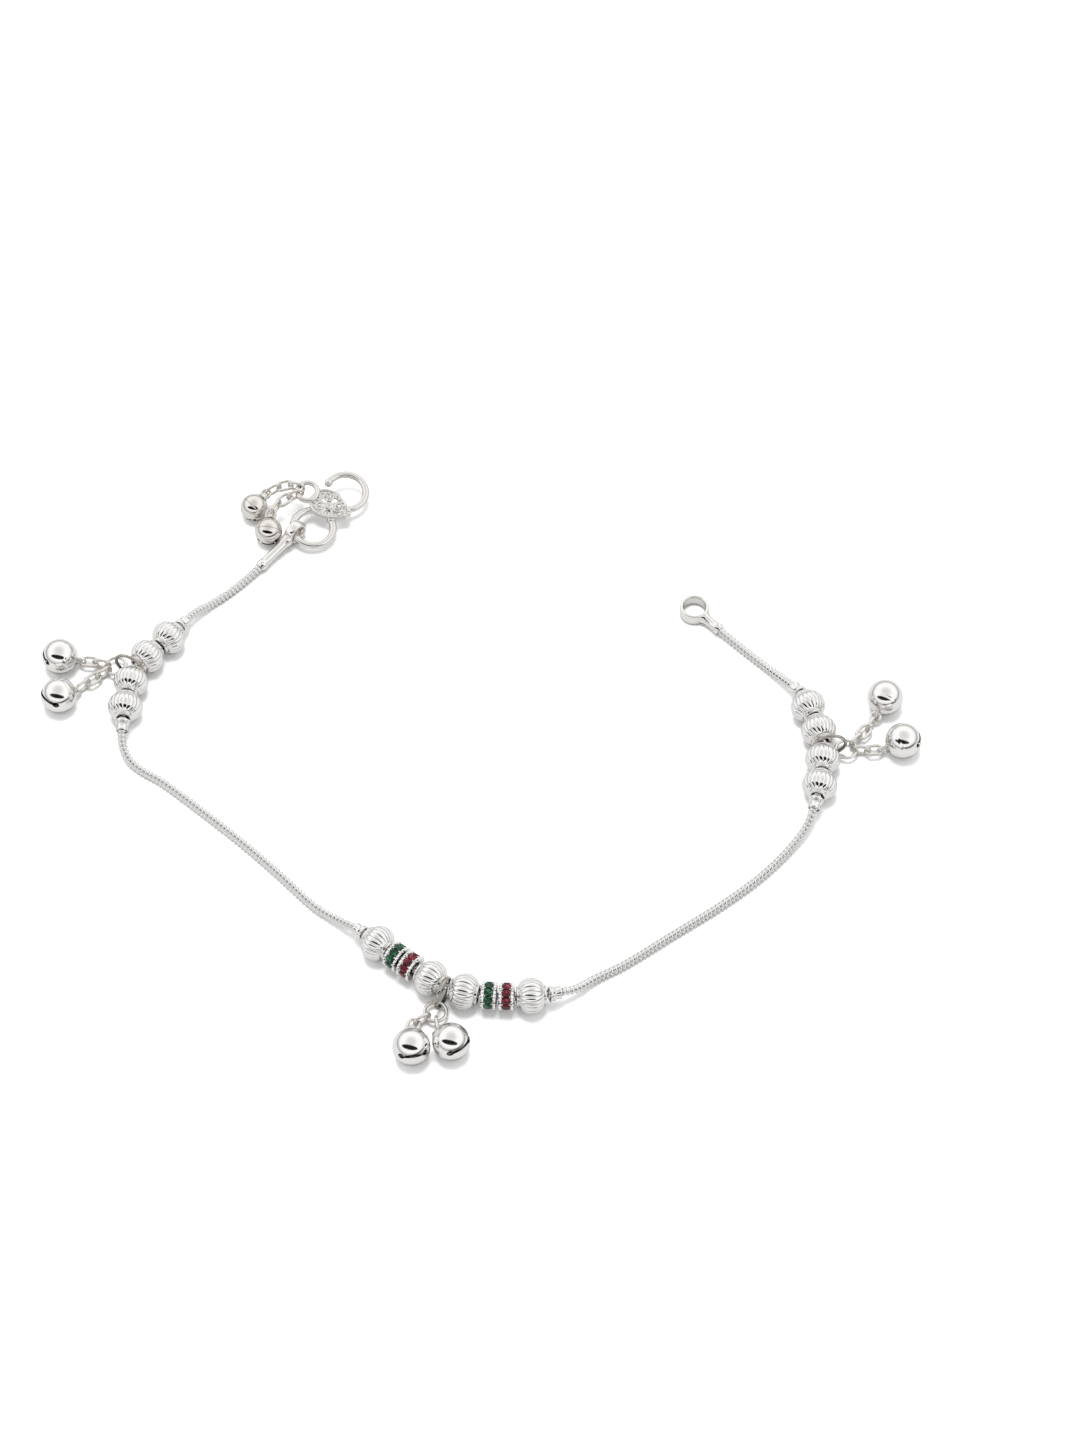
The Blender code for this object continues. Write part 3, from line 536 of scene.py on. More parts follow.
class Shape:
    """Skins of rings of points, with how deep each point sits in a line or gap, which the silver darkens as
    painted shade.
    """

    def __init__(self):
        self.points = []
        self.faces = []
        self.recess = []
        self.slots = []

    def skin(self, rings, loop=False, caps=False, recess=None, slot=0):
        """Quads between neighbouring rings; loop joins the last to the first, caps close both ends."""
        first = len(self.points)
        count = len(rings[0])
        for i, ring in enumerate(rings):
            self.points += ring
            self.recess += recess[i] if recess else [0.0] * count
        last = len(rings) if loop else len(rings) - 1
        for i in range(last):
            here = first + i * count
            there = first + (i + 1) % len(rings) * count
            for j in range(count):
                k = (j + 1) % count
                self.faces.append((here + j, here + k, there + k, there + j))
                self.slots.append(slot)
        if caps:
            self.faces.append(tuple(range(first, first + count)))
            self.faces.append(tuple(range(first + (len(rings) - 1) * count, first + len(rings) * count)))
            self.slots += [slot, slot]

    def wire(self, path, diameter, sides, closed=True, inner=0.0):
        """A round wire along roughly level points; inner paints shade on its side towards the middle."""
        rings = []
        angles = turns(sides)
        up = Vector((0, 0, 1))
        for i, point in enumerate(path):
            before = path[i - 1] if closed or i else point
            after = path[(i + 1) % len(path)] if closed or i < len(path) - 1 else point
            along = (after - before).normalized()
            side = along.cross(up).normalized()
            rise = side.cross(along)
            rings.append([point + (side * math.cos(a) + rise * math.sin(a)) * (diameter / 2) for a in angles])
        marks = [inner * smooth(-math.cos(a) * 1.2 - 0.1) for a in angles]
        self.skin(rings, closed, not closed, [marks] * len(rings))

    def ball(self, centre, radius, sides, rows):
        rings = []
        for i in range(1, rows):
            a = math.pi * i / rows - math.pi / 2
            spot = Vector(centre) + Vector((0, 0, radius * math.sin(a)))
            rings.append(circle(sides, radius * math.cos(a), spot))
        self.skin(rings, caps=True)

    def lathe(self, profile, sides, loop=True, ripple=None):
        """Points of (along, radius, depth) turned round X; ripple changes a point's radius and depth.
        The profile is a loop, or else its two ends are capped."""
        rings = []
        recess = []
        for x, radius, depth in profile:
            ring = []
            marks = []
            for angle in turns(sides):
                r, mark = ripple(angle, x, radius, depth) if ripple else (radius, depth)
                ring.append(Vector((x, r * math.cos(angle), r * math.sin(angle))))
                marks.append(mark)
            rings.append(ring)
            recess.append(marks)
        self.skin(rings, loop, not loop, recess)

    def turn(self, matrix, start=0):
        for i in range(start, len(self.points)):
            self.points[i] = matrix @ self.points[i]

    def mesh(self, name, sharp=40):
        data = bpy.data.meshes.new(name)
        data.from_pydata([tuple(p) for p in self.points], [], self.faces)
        data.polygons.foreach_set("material_index", self.slots)
        layer = data.attributes.new("recess", "FLOAT", "POINT")
        layer.data.foreach_set("value", self.recess)
        bm = bmesh.new()
        bm.from_mesh(data)
        bmesh.ops.recalc_face_normals(bm, faces=bm.faces[:])
        bm.to_mesh(data)
        bm.free()
        data.shade_smooth()
        data.set_sharp_from_angle(angle=math.radians(sharp))
        return data


def cut_out(base, others):
    """The mesh of base with the others cut from it."""
    holder = bpy.data.objects.new("work", base)
    bpy.context.scene.collection.objects.link(holder)
    tools = []
    for data in others:
        tool = bpy.data.objects.new("tool", data)
        bpy.context.scene.collection.objects.link(tool)
        boolean = holder.modifiers.new("cut", "BOOLEAN")
        boolean.object = tool
        boolean.operation = "DIFFERENCE"
        boolean.solver = "EXACT"
        tools.append(tool)
    seen = holder.evaluated_get(bpy.context.evaluated_depsgraph_get())
    result = bpy.data.meshes.new_from_object(seen)
    for obj in [holder, *tools]:
        bpy.data.objects.remove(obj, do_unlink=True)
    result.shade_smooth()
    result.set_sharp_from_angle(angle=math.radians(35))
    return result


def merged(base, other):
    """The mesh of base with the other's faces added."""
    bm = bmesh.new()
    bm.from_mesh(base)
    bm.from_mesh(other)
    bm.to_mesh(base)
    bm.free()
    return base


def place(node, data, slot, *materials):
    """Puts a copy of a mesh where the solid of that name is, in its stead."""
    own = data.copy()
    own.transform(LAYOUT.frames.get(node, Matrix.Translation(LAYOUT.shift)))
    for material in materials:
        own.materials.append(material)
    obj = bpy.data.objects.new(node + "_look", own)
    bpy.context.scene.collection.objects.link(obj)
    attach(obj, "root")
    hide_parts(node)


def place_all(part, data, slot, *materials):
    """Places the same mesh at every node whose name has that part in it."""
    for node in LAYOUT.frames:
        if part in node:
            place(node, data, slot, *materials)


def oval(length, width, count):
    """Centre points of a link whose wire centres span length by width."""
    points = []
    for angle in turns(count, 0.5):
        shift = math.copysign((length - width) / 2, math.cos(angle))
        points.append(Vector((shift + width / 2 * math.cos(angle), width / 2 * math.sin(angle), 0)))
    return points


def smooth(share):
    """A share from 0 to 1 with soft ends."""
    share = max(0.0, min(1.0, share))
    return share * share * (3 - 2 * share)


# Materials

class Value:
    """A socket whose sums and products add their own Math nodes."""

    def __init__(self, paint, socket):
        self.paint = paint
        self.socket = socket

    def math(self, operation, other):
        return self.paint.node("ShaderNodeMath", {"operation": operation}, {0: self, 1: other})

    def __add__(self, other):
        return self.math("ADD", other)

    __radd__ = __add__

    def __mul__(self, other):
        return self.math("MULTIPLY", other)

    __rmul__ = __mul__


class Paint:
    """One material: its nodes, and the sockets of its shader."""

    def __init__(self, name):
        self.material = bpy.data.materials.new(name)
        self.material.use_nodes = True
        self.tree = self.material.node_tree
        self.shader = self.tree.nodes["Principled BSDF"]

    def node(self, kind, settings=None, inputs=None, output=0):
        node = self.tree.nodes.new(kind)
        for name, value in (settings or {}).items():
            setattr(node, name, value)
        for name, value in (inputs or {}).items():
            self.feed(node.inputs[name], value)
        return Value(self, node.outputs[output])

    def feed(self, socket, value):
        if isinstance(value, Value):
            self.tree.links.new(value.socket, socket)
        else:
            socket.default_value = value

    def set(self, **values):
        for name, value in values.items():
            self.feed(self.shader.inputs[name.replace("_", " ").title().replace("Ior", "IOR")], value)

    def where(self):
        return self.node("ShaderNodeTexCoord", output="Object")

    def noise(self, scale, detail, stretch=None):
        spot = self.where()
        if stretch:
            spot = self.node("ShaderNodeVectorMath", {"operation": "MULTIPLY"}, {0: spot, 1: stretch})
        return self.node("ShaderNodeTexNoise", {}, {"Vector": spot, "Scale": scale, "Detail": detail}, "Fac")

    def recess(self):
        return self.node("ShaderNodeAttribute", {"attribute_name": "recess"}, output="Fac")

    def mix(self, share, first, second):
        """A Mix node on colours, whose sockets 6, 7 and output 2 are the coloured ones."""
        first, second = (tint if isinstance(tint, Value) else (*tint, 1.0) for tint in (first, second))
        return self.node("ShaderNodeMix", {"data_type": "RGBA"}, {0: share, 6: first, 7: second}, 2)

    def range(self, value, low, high):
        return self.node("ShaderNodeMapRange", {"clamp": True},
                         {"Value": value, "From Min": low, "From Max": high})

    def bump(self, height, distance, strength):
        return self.node("ShaderNodeBump", {}, {"Height": height, "Distance": distance, "Strength": strength})


def silver(name, shade_warmth=0.0, shade=1.0, rougher=0.0, gaps=0.0, marks=1.0):
    """Polished silver with faint clouds, hand polishing marks, and painted shade in its recesses, which are
    also rougher. Its warmth leans it towards the warm silver, painted warm shade and reflection; shade
    darkens it all with painted shade; and gaps lightens the painted shade in its recesses."""
    known = bpy.data.materials.get(name)
    if known:
        return known
    finishes = bpy.context.scene.anklet_finishes
    # Mixing in the warm silver paints warm shade and reflection into the silver's colour, and the shade
    # factor paints shade over all of it
    tint = [((1 - shade_warmth) * cold + shade_warmth * warm) * shade
            for cold, warm in zip(finishes.silver, finishes.warm_shade_silver)]
    dull = [channel * 0.90 for channel in tint]
    deep = [channel + gaps for channel in finishes.recess_shade]
    paint = Paint(name)
    clouds = paint.range(paint.noise(420.0, 3.0), 0.35, 0.7)
    lines = paint.noise(900.0, 4.0, (2.0, 9.0, 6.0))
    # The recess marks paint shade into the colour and make those places rougher
    depth = paint.recess()
    cloudy = paint.mix(clouds * 0.6, tint, dull)
    paint.set(
        base_color=paint.mix(depth, cloudy, deep),
        metallic=1.0,
        roughness=depth * 0.25 + clouds * 0.04 + lines * (0.05 * marks) + (finishes.polish + rougher),
        normal=paint.bump(lines, 0.000004 * marks, 0.6),
    )
    return paint.material


def stone(name, tint):
    """Dark clear-cut glass with painted light and shade on its facets and painted glints."""
    paint = Paint(name)
    # Painted light: the glint colour and the lighter and darker facets stand in for light caught in the glass
    glint_tint = [min(1.0, channel * 4.0 + 0.01) for channel in tint]
    dark = [channel * 0.15 for channel in tint]
    facets = paint.range(paint.noise(1500.0, 1.0), 0.3, 0.7)
    glint_mask = paint.range(paint.noise(2600.0, 0.0), 0.55, 0.75)
    paint.set(
        base_color=paint.mix(glint_mask, paint.mix(facets, dark, tint), glint_tint),
        roughness=facets * 0.08 + 0.03,
        normal=paint.bump(facets, 0.00003, 0.5),
        specular_ior_level=0.45,
        ior=1.5,
    )
    return paint.material


# The snake chain

def chain_mesh(sizes):
    """Round ribs that lean a little as they go round the chain, with sunken gaps between them darkened by
    painted shade.
    """
    route = LAYOUT.route
    length = route.total - 2 * PLAY
    steps = round(length / sizes.rib_pitch) * RIB_STEPS
    rings = []
    marks = []
    for i in range(steps + 1):
        station = PLAY + length * i / steps
        here = aimed(route.along(station, 0.0004), route.at(station))
        ring = []
        mark = []
        for angle in turns(CHAIN_SIDES):
            phase = (i / RIB_STEPS + RIB_LEAN * math.cos(2 * angle + 0.6)) % 1.0
            away = min(phase, 1 - phase)
            gap = smooth(1.05 - away / GAP_REACH)
            crown = (2 * away - 1) ** 2
            radius = CHAIN_RADIUS - sizes.rib_depth * (0.85 * gap + 0.15 * crown)
            ring.append(here @ Vector((0, radius * math.cos(angle), radius * math.sin(angle))))
            # The gap mark paints shade into the sunken gaps
            mark.append(gap)
        rings.append(ring)
        marks.append(mark)
    shape = Shape()
    shape.skin(rings, caps=True, recess=marks)
    return shape.mesh("snake_chain", 60)


# Beads, caps and rondelles

def bead_mesh(sizes):
    """A round belly with lobes between two plain raised rims, with painted shade in the flute lines and in
    the grooves and bore at the ends.
    """
    bore = CHAIN_RADIUS + BORE_PLAY
    half = BEAD_LENGTH / 2
    rim = BEAD_RIM_RADIUS
    belly = half - BEAD_RIM_LENGTH
    widest = math.acos(BELLY_END_RADIUS / BEAD_RADIUS)
    profile = [(-half, bore, 1.0), (-half, rim - 0.0001, 0.7), (-half + 0.00008, rim, 0.0),
               (-half + 0.0002, rim + 0.00003, 0.0), (-half + 0.0003, rim - 0.00008, 0.2),
               (-half + 0.00036, rim - 0.0002, 0.9), (-belly, rim - 0.0001, 0.9)]
    steps = 26
    for i in range(steps + 1):
        a = widest * (2 * i / steps - 1)
        profile.append((belly * math.sin(a) / math.sin(widest), BEAD_RADIUS * math.cos(a), 0.0))
    profile += [(-x, r, depth) for x, r, depth in reversed(profile[:7])]

    def ripple(angle, x, radius, depth):
        if radius < (rim + BELLY_END_RADIUS) / 2:
            return radius, depth
        fade = smooth((belly - abs(x)) / 0.0005)
        low = 1 - abs(math.sin(angle * sizes.flutes / 2))
        cut = sizes.flute_depth * (0.35 * low + 0.65 * low ** 4)
        # The flute lines get painted shade, strongest at their bottoms
        return radius - cut * fade, 0.55 * low ** 2 * fade

    shape = Shape()
    shape.lathe(profile, sizes.flutes * 8, ripple=ripple)
    return shape.mesh("fluted_bead", 50)


def cap_mesh():
    """A turned cap with three rings and a plain sleeve, with painted shade in the grooves between the rings
    and at the bore.
    """
    bore = CHAIN_RADIUS + 0.0001
    half = CAP_LENGTH / 2
    profile = [
        (-half, bore, 0.8), (-half, 0.00122, 0.3), (-half + 0.00005, 0.00131, 0.0),
        (-half + 0.00018, 0.00135, 0.0), (-half + 0.00032, 0.00131, 0.0),
        (-half + 0.00038, 0.00112, 0.8), (-half + 0.00046, 0.00108, 0.9),
        (-half + 0.00056, 0.00118, 0.1), (-half + 0.0007, 0.00124, 0.0), (-half + 0.00084, 0.00118, 0.1),
        (-half + 0.00094, 0.00102, 0.8), (-half + 0.00105, 0.00101, 0.3), (0.0004, 0.00103, 0.0),
        (0.0007, 0.00108, 0.0), (half - 0.00012, 0.00112, 0.0), (half, 0.00106, 0.2), (half, bore, 0.8),
    ]
    shape = Shape()
    shape.lathe(profile, 40)
    return shape.mesh("cap", 45)


def rondelle_mesh(name, sizes):
    """Two scalloped rims with a row of cut stones between them; painted shade darkens the rims' inner faces,
    the seat under the stones and the bore.
    """
    bore = CHAIN_RADIUS + BORE_PLAY
    half = RONDELLE_LENGTH / 2
    rim = RONDELLE_RIM
    seat = RONDELLE_RADIUS - STONE_SEAT_DEPTH
    waves = 2 * sizes.stones

    def scallop(angle, x, radius, depth):
        if radius < RONDELLE_RADIUS - 0.0002:
            return radius, depth
        return radius - SCALLOP_DEPTH * (1 - math.cos(waves * angle)), depth

    shape = Shape()
    for side in (-1, 1):
        outer = side * half
        inner = side * (half - rim)
        profile = [(outer, bore, 0.6), (outer, RONDELLE_RADIUS - 0.0005, 0.0),
                   (outer - side * 0.00006, RONDELLE_RADIUS - 0.00008, 0.0),
                   ((outer + inner) / 2, RONDELLE_RADIUS, 0.0),
                   (inner + side * 0.00006, RONDELLE_RADIUS - 0.00008, 0.0),
                   (inner, RONDELLE_RADIUS - 0.0003, 0.3), (inner, bore, 0.8)]
        shape.lathe(profile, waves * 6, ripple=scallop)
    shape.lathe([(-half + rim, seat, 0.9), (half - rim, seat, 0.9),
                 (half - rim, bore, 0.9), (-half + rim, bore, 0.9)], 40)
    for stone_angle, claw_angle in zip(turns(sizes.stones, 0.5), turns(sizes.stones)):
        start = len(shape.points)
        cut_stone(shape, sizes)
        shape.turn(Matrix.Rotation(stone_angle, 4, "X") @ Matrix.Translation((0, 0, seat - 0.00005)), start)
        for side in (-1, 1):
            spot = Vector((side * (half - rim - 0.00012), 0, RONDELLE_RADIUS - 0.00028))
            shape.ball(Matrix.Rotation(claw_angle, 4, "X") @ spot, CLAW_RADIUS, 8, 5)
    return shape.mesh(name, 20)


def cut_stone(shape, sizes):
    """An octagonal cut stone on the XY plane: girdle, eight crown facets and a table."""
    wide = RONDELLE_LENGTH / 2 - RONDELLE_RIM
    deep = math.pi * (RONDELLE_RADIUS - 0.0003) / sizes.stones * 0.88
    corner = 0.62
    outline = [(1, corner), (corner, 1), (-corner, 1), (-1, corner),
               (-1, -corner), (-corner, -1), (corner, -1), (1, -corner)]
    rows = [(0.0, 0.95), (0.00022, 1.0), (0.00032, 0.98), (0.00048, 0.58)]
    rings = [[Vector((x * wide * share, y * deep * share, z)) for x, y in outline] for z, share in rows]
    shape.skin(rings, caps=True, slot=1)


# Rings, links and bells

def ring_mesh(name, length, width, diameter):
    """A closed ring or oval link, with painted shade on its inner side."""
    shape = Shape()
    shape.wire(oval(length - diameter, width - diameter, 48), diameter, 16, inner=0.7)
    return shape.mesh(name, 60)


def bell_mesh(name, radius, flat, sizes):
    """A hollow bell in two halves: loop towards -X, slit with round ends at +X. Painted shade darkens the
    seam, the inside and the foot of the collar.
    """
    rows = 56
    profile = []
    for i in range(1, rows):
        a = math.pi * i / rows - math.pi / 2
        seam = math.exp(-(a / SEAM_REACH) ** 2)
        profile.append((radius * math.sin(a), (radius - sizes.seam_depth * seam) * math.cos(a), 0.45 * seam))
    shell = Shape()
    shell.lathe(profile, 80, loop=False)
    hollow = Shape()
    inner = radius - BELL_WALL
    arc = [math.pi * i / 20 - math.pi / 2 for i in range(1, 20)]
    hollow.lathe([(inner * math.sin(a), inner * math.cos(a), 0.9) for a in arc], 32, loop=False)
    slit = Shape()
    reach = radius * SLIT_REACH
    opening = math.asin(SLIT_WIDTH / 2 / SLIT_END_RADIUS)
    outline = []
    for end in (1, -1):
        for step in range(13):
            angle = opening - math.pi + (2 * math.pi - 2 * opening) * step / 12
            outline.append((end * (reach + SLIT_END_RADIUS * math.cos(angle)),
                            end * SLIT_END_RADIUS * math.sin(angle)))
    slit.skin([[Vector((x, y, z)) for y, z in outline] for x in (radius * 0.3, radius * 1.3)], caps=True)
    if not flat:
        slit.turn(Matrix.Rotation(math.radians(90), 4, "X"))
    data = cut_out(shell.mesh(name), [hollow.mesh("hollow"), slit.mesh("slit")])
    far = radius + BELL_LOOP_REACH
    near = radius - 0.0002
    loop = Shape()
    path = [point - Vector(((far + near) / 2, 0, 0))
            for point in oval(far - near, BELL_LOOP_WIDTH - BELL_LOOP_WIRE, 40)]
    loop.wire(path, BELL_LOOP_WIRE, 12)
    collar = [(-radius - 0.00095, 0.00022, 0.0), (-radius - 0.0009, 0.00042, 0.0),
              (-radius - 0.0005, 0.00052, 0.0), (-radius - 0.0001, 0.0007, 0.0),
              (-radius + 0.00012, 0.00095, 0.1), (-radius + 0.0002, 0.0011, 0.5)]
    loop.lathe(collar, 28, loop=False)
    return merged(data, loop.mesh("loop"))


# The two ends

def band_mesh(name, radius, wall, width, neck_length, axis):
    """A rounded band about the origin and a waisted neck that leaves it along -X.
    The band's hole, along X at first, is turned round the named axis."""
    profile = []
    for a in turns(20):
        across = math.copysign(abs(math.cos(a)) ** 0.55, math.cos(a))
        out = math.copysign(abs(math.sin(a)) ** 0.7, math.sin(a))
        profile.append((width / 2 * across, radius - wall / 2 + wall / 2 * out, 0.0))
    shape = Shape()
    shape.lathe(profile, 72)
    shape.turn(Matrix.Rotation(math.radians(90), 4, axis))
    neck = [(-wall / 2, NECK_RADIUS * 1.1, 0.0)]
    neck += [(along * neck_length, across * NECK_RADIUS, mark) for along, across, mark in NECK_ROWS]
    neck.append((neck_length + NECK_SLEEVE, NECK_RADIUS * 0.84, 0.0))
    start = len(shape.points)
    shape.lathe(neck, 32, loop=False)
    shape.turn(Matrix.Translation((-radius, 0, 0)) @ Matrix.Rotation(math.pi, 4, "Z"), start)
    return shape.mesh(name, 50)


def hook_path(steps):
    """Centre points of the S, in its own plane, about the middle of the S."""
    radius = (HOOK_LOOP_DIAMETER - HOOK_WIRE) / 2
    line = polar(HOOK_LINE_ANGLE, HOOK_CENTRES / 2)
    cross = HOOK_LINE_ANGLE - math.asin(min(1.0, 2 * radius / HOOK_CENTRES))
    first = cross - math.pi / 2
    last = cross + math.pi / 2
    shares = [i / steps for i in range(steps + 1)]
    path = [line + polar(first + (HOOK_OPEN_END - first) * share, radius) for share in reversed(shares)]
    path += [polar(last + (HOOK_EYE_END - last) * share, radius) - line for share in shares]
    return path


def leaf_outline(share, count, z):
    """Teardrop with its point towards +X."""
    points = []
    for angle in turns(count, 0.5):
        y = math.sin(angle) * abs(math.sin(angle / 2)) ** 0.7 * LEAF_WIDTH / 2
        points.append(Vector((math.cos(angle) * LEAF_LENGTH / 2 * share, y * share, z)))
    return points


def spiral(centre, start, rounds, big, small, z):
    """A scroll that winds in from big to small."""
    points = []
    for i in range(SCROLL_STEPS + 1):
        share = i / SCROLL_STEPS
        reach = polar(start + 2 * math.pi * rounds * share, big + (small - big) * share)
        points.append(Vector((*centre, z)) + reach)
    return points


def hook_mesh(sizes):
    """The S wire with ball ends, the bell ring, and the pierced leaf with its rim, scrolls and grains."""
    shape = Shape()
    path = hook_path(48)
    shape.wire(path, HOOK_WIRE, 20, closed=False)
    for tip in (path[0], path[-1]):
        shape.ball(tip, HOOK_TIP_RADIUS, 18, 12)
    ring_radius = (BELL_RING_DIAMETER - BELL_RING_WIRE) / 2
    shape.wire(circle(48, ring_radius, (*BELL_RING_CENTRE, LEAF_TOP)), BELL_RING_WIRE, 16)
    start = len(shape.points)
    top = LEAF_TOP - 0.00018
    shape.wire(leaf_outline(0.93, 72, top), LEAF_RIM_WIRE, 12)
    for scroll in SCROLLS:
        line = spiral(*scroll, top)
        shape.wire(line, SCROLL_WIRE, 8, closed=False)
        shape.ball(line[-1], SCROLL_END_RADIUS, 12, 8)
    for angle, spot in zip(turns(RIM_GRAINS, 0.5), leaf_outline(0.76, RIM_GRAINS, top)):
        stray = (noise.noise(spot * 4000), noise.noise(spot * 4000 + Vector((5, 5, 5))), 0)
        radius = RIM_GRAIN_RADIUS + 0.00003 * math.sin(7 * angle)
        shape.ball(spot + Vector(stray) * 0.0001, radius, 10, 6)
    for degrees in TIP_GRAIN_ANGLES:
        a = math.radians(degrees)
        spot = (math.cos(a) * TIP_GRAIN_ARC[0], math.sin(a) * TIP_GRAIN_ARC[1], LEAF_TOP - 0.0001)
        shape.ball(spot, sizes.grain_diameter / 2, 14, 10)
    seat = Matrix.Translation((*LEAF_CENTRE, 0)) @ Matrix.Rotation(LEAF_TURN, 4, "Z")
    shape.turn(seat, start)
    return merged(leaf_plate(seat, top), shape.mesh("s_hook", 50))


def leaf_plate(seat, top):
    """The leaf's plate with its ring of round holes cut through."""
    plate = Shape()
    rows = ((0.94, 0.00035), (0.97, 0.0005), (0.97, top - 0.0001))
    plate.skin([leaf_outline(share, 64, z) for share, z in rows], caps=True)
    plate.turn(seat)
    holes = []
    for angle in turns(LEAF_HOLES, 0.5):
        x, y = math.cos(angle) * LEAF_HOLE_RING[0] / 2, math.sin(angle) * LEAF_HOLE_RING[1] / 2
        hole = Shape()
        hole.skin([circle(32, LEAF_HOLE_DIAMETER / 2, (x, y, z)) for z in (0.0, 0.003)], caps=True)
        hole.turn(seat)
        holes.append(hole.mesh("hole"))
    return cut_out(plate.mesh("leaf"), holes)


# Operators, one for each piece or group of like pieces and one for the stage

class ANKLET_OT_snake_chain(bpy.types.Operator):
    """Build the ribbed snake chain along its route"""
    bl_idname = "anklet.snake_chain"
    bl_label = "Snake Chain"

    def execute(self, context):
        finish = silver("chain_silver", rougher=0.06, gaps=0.04)
        place("snake_chain", chain_mesh(context.scene.anklet_sizes), "chain_silver", finish)
        return {"FINISHED"}


class ANKLET_OT_beads(bpy.types.Operator):
    """Thread the fluted beads on the chain"""
    bl_idname = "anklet.beads"
    bl_label = "Fluted Beads"

    def execute(self, context):
        data = bead_mesh(context.scene.anklet_sizes)
        place_all("_bead_", data, "bead_silver", silver("bead_silver"))
        return {"FINISHED"}


class ANKLET_OT_caps(bpy.types.Operator):
    """Close the bead groups with their ringed caps"""
    bl_idname = "anklet.caps"
    bl_label = "End Caps"

    def execute(self, context):
        place_all("_cap_", cap_mesh(), "bead_silver", silver("bead_silver"))
        return {"FINISHED"}


class ANKLET_OT_rondelles(bpy.types.Operator):
    """Thread the rondelles with their rows of cut stones"""
    bl_idname = "anklet.rondelles"
    bl_label = "Stone Rondelles"

    def execute(self, context):
        finishes = context.scene.anklet_finishes
        rims = silver("rondelle_silver")
        for hue, tint in (("green", finishes.green_stone), ("red", finishes.red_stone)):
            data = rondelle_mesh(hue + "_rondelle", context.scene.anklet_sizes)
            stones = stone(hue + "_stone", tint)
            for letter in ("a", "b"):
                place(f"{hue}_rondelle_{letter}", data, hue + "_stones", rims, stones)
        return {"FINISHED"}


class ANKLET_OT_rings_and_links(bpy.types.Operator):
    """Hang the jump rings, connectors and links of the drops"""
    bl_idname = "anklet.rings_and_links"
    bl_label = "Rings and Links"

    def execute(self, context):
        # The links and rings take the warm silver, which is painted warm shade and reflection
        finish = silver("link_silver", shade_warmth=1.0, rougher=0.04)
        # Painted shade: the jump rings are a darker copy of the warm silver, for the shade and dark
        # reflections between the beads
        shaded = silver("jump_ring_silver", shade_warmth=1.0, shade=0.68)
        wire = LINK_WIRE + WIRE_GAIN
        meshes = {
            "_jump_ring": ring_mesh("jump_ring", RING_DIAMETER, RING_DIAMETER, RING_WIRE + WIRE_GAIN),
            "_connector": ring_mesh("connector", CONNECTOR_DIAMETER, CONNECTOR_DIAMETER, wire),
            "_link_": ring_mesh("link", LINK_LENGTH, LINK_WIDTH, wire),
        }
        for node in LAYOUT.frames:
            for part, data in meshes.items():
                if part in node:
                    place(node, data, "link_silver", shaded if part == "_jump_ring" else finish)
        return {"FINISHED"}


class ANKLET_OT_bells(bpy.types.Operator):
    """Hang the round bells of the groups and of the clasp"""
    bl_idname = "anklet.bells"
    bl_label = "Bells"

    def execute(self, context):
        plain = silver("bell_silver", rougher=-0.02, marks=0.4)
        # The clasp bells are half warm silver, which is painted warm shade and reflection
        warm = silver("clasp_bell_silver", shade_warmth=0.5, marks=0.4)
        meshes = {}
        for node in LAYOUT.frames:
            if not node.endswith("_bell"):
                continue
            radius = CLASP_BELL_RADIUS if node.startswith("clasp") else BELL_RADIUS
            links = sum(1 for other in LAYOUT.frames if other.startswith(node[:-4] + "link_"))
            key = (radius, links % 2 == 1)
            if key not in meshes:
                meshes[key] = bell_mesh("bell", *key, context.scene.anklet_sizes)
            place(node, meshes[key], "bell_silver", warm if radius == CLASP_BELL_RADIUS else plain)
        return {"FINISHED"}


class ANKLET_OT_end_fittings(bpy.types.Operator):
    """Build the band ring at the free end and the eye at the clasp end"""
    bl_idname = "anklet.end_fittings"
    bl_label = "End Ring and Eye"

    def execute(self, context):
        finish = silver("clasp_silver")
        ring = band_mesh("end_ring", END_RING_RADIUS, END_RING_WALL, END_RING_HEIGHT, END_NECK_LENGTH, "Y")
        place("end_ring", ring, "clasp_silver", finish)
        eye = band_mesh("clasp_eye", EYE_RADIUS, EYE_WALL, EYE_WIDTH, EYE_NECK_LENGTH, "Z")
        place("clasp_eye", eye, "clasp_silver", finish)
        return {"FINISHED"}


class ANKLET_OT_s_hook(bpy.types.Operator):
    """Build the S hook with its leaf plate, grains and bell ring"""
    bl_idname = "anklet.s_hook"
    bl_label = "S Hook"

    def execute(self, context):
        # The hook is partly warm silver, which is painted warm shade and reflection
        finish = silver("hook_silver", shade_warmth=0.3, rougher=-0.02, marks=0.3)
        place("s_hook", hook_mesh(context.scene.anklet_sizes), "clasp_silver", finish)
        return {"FINISHED"}


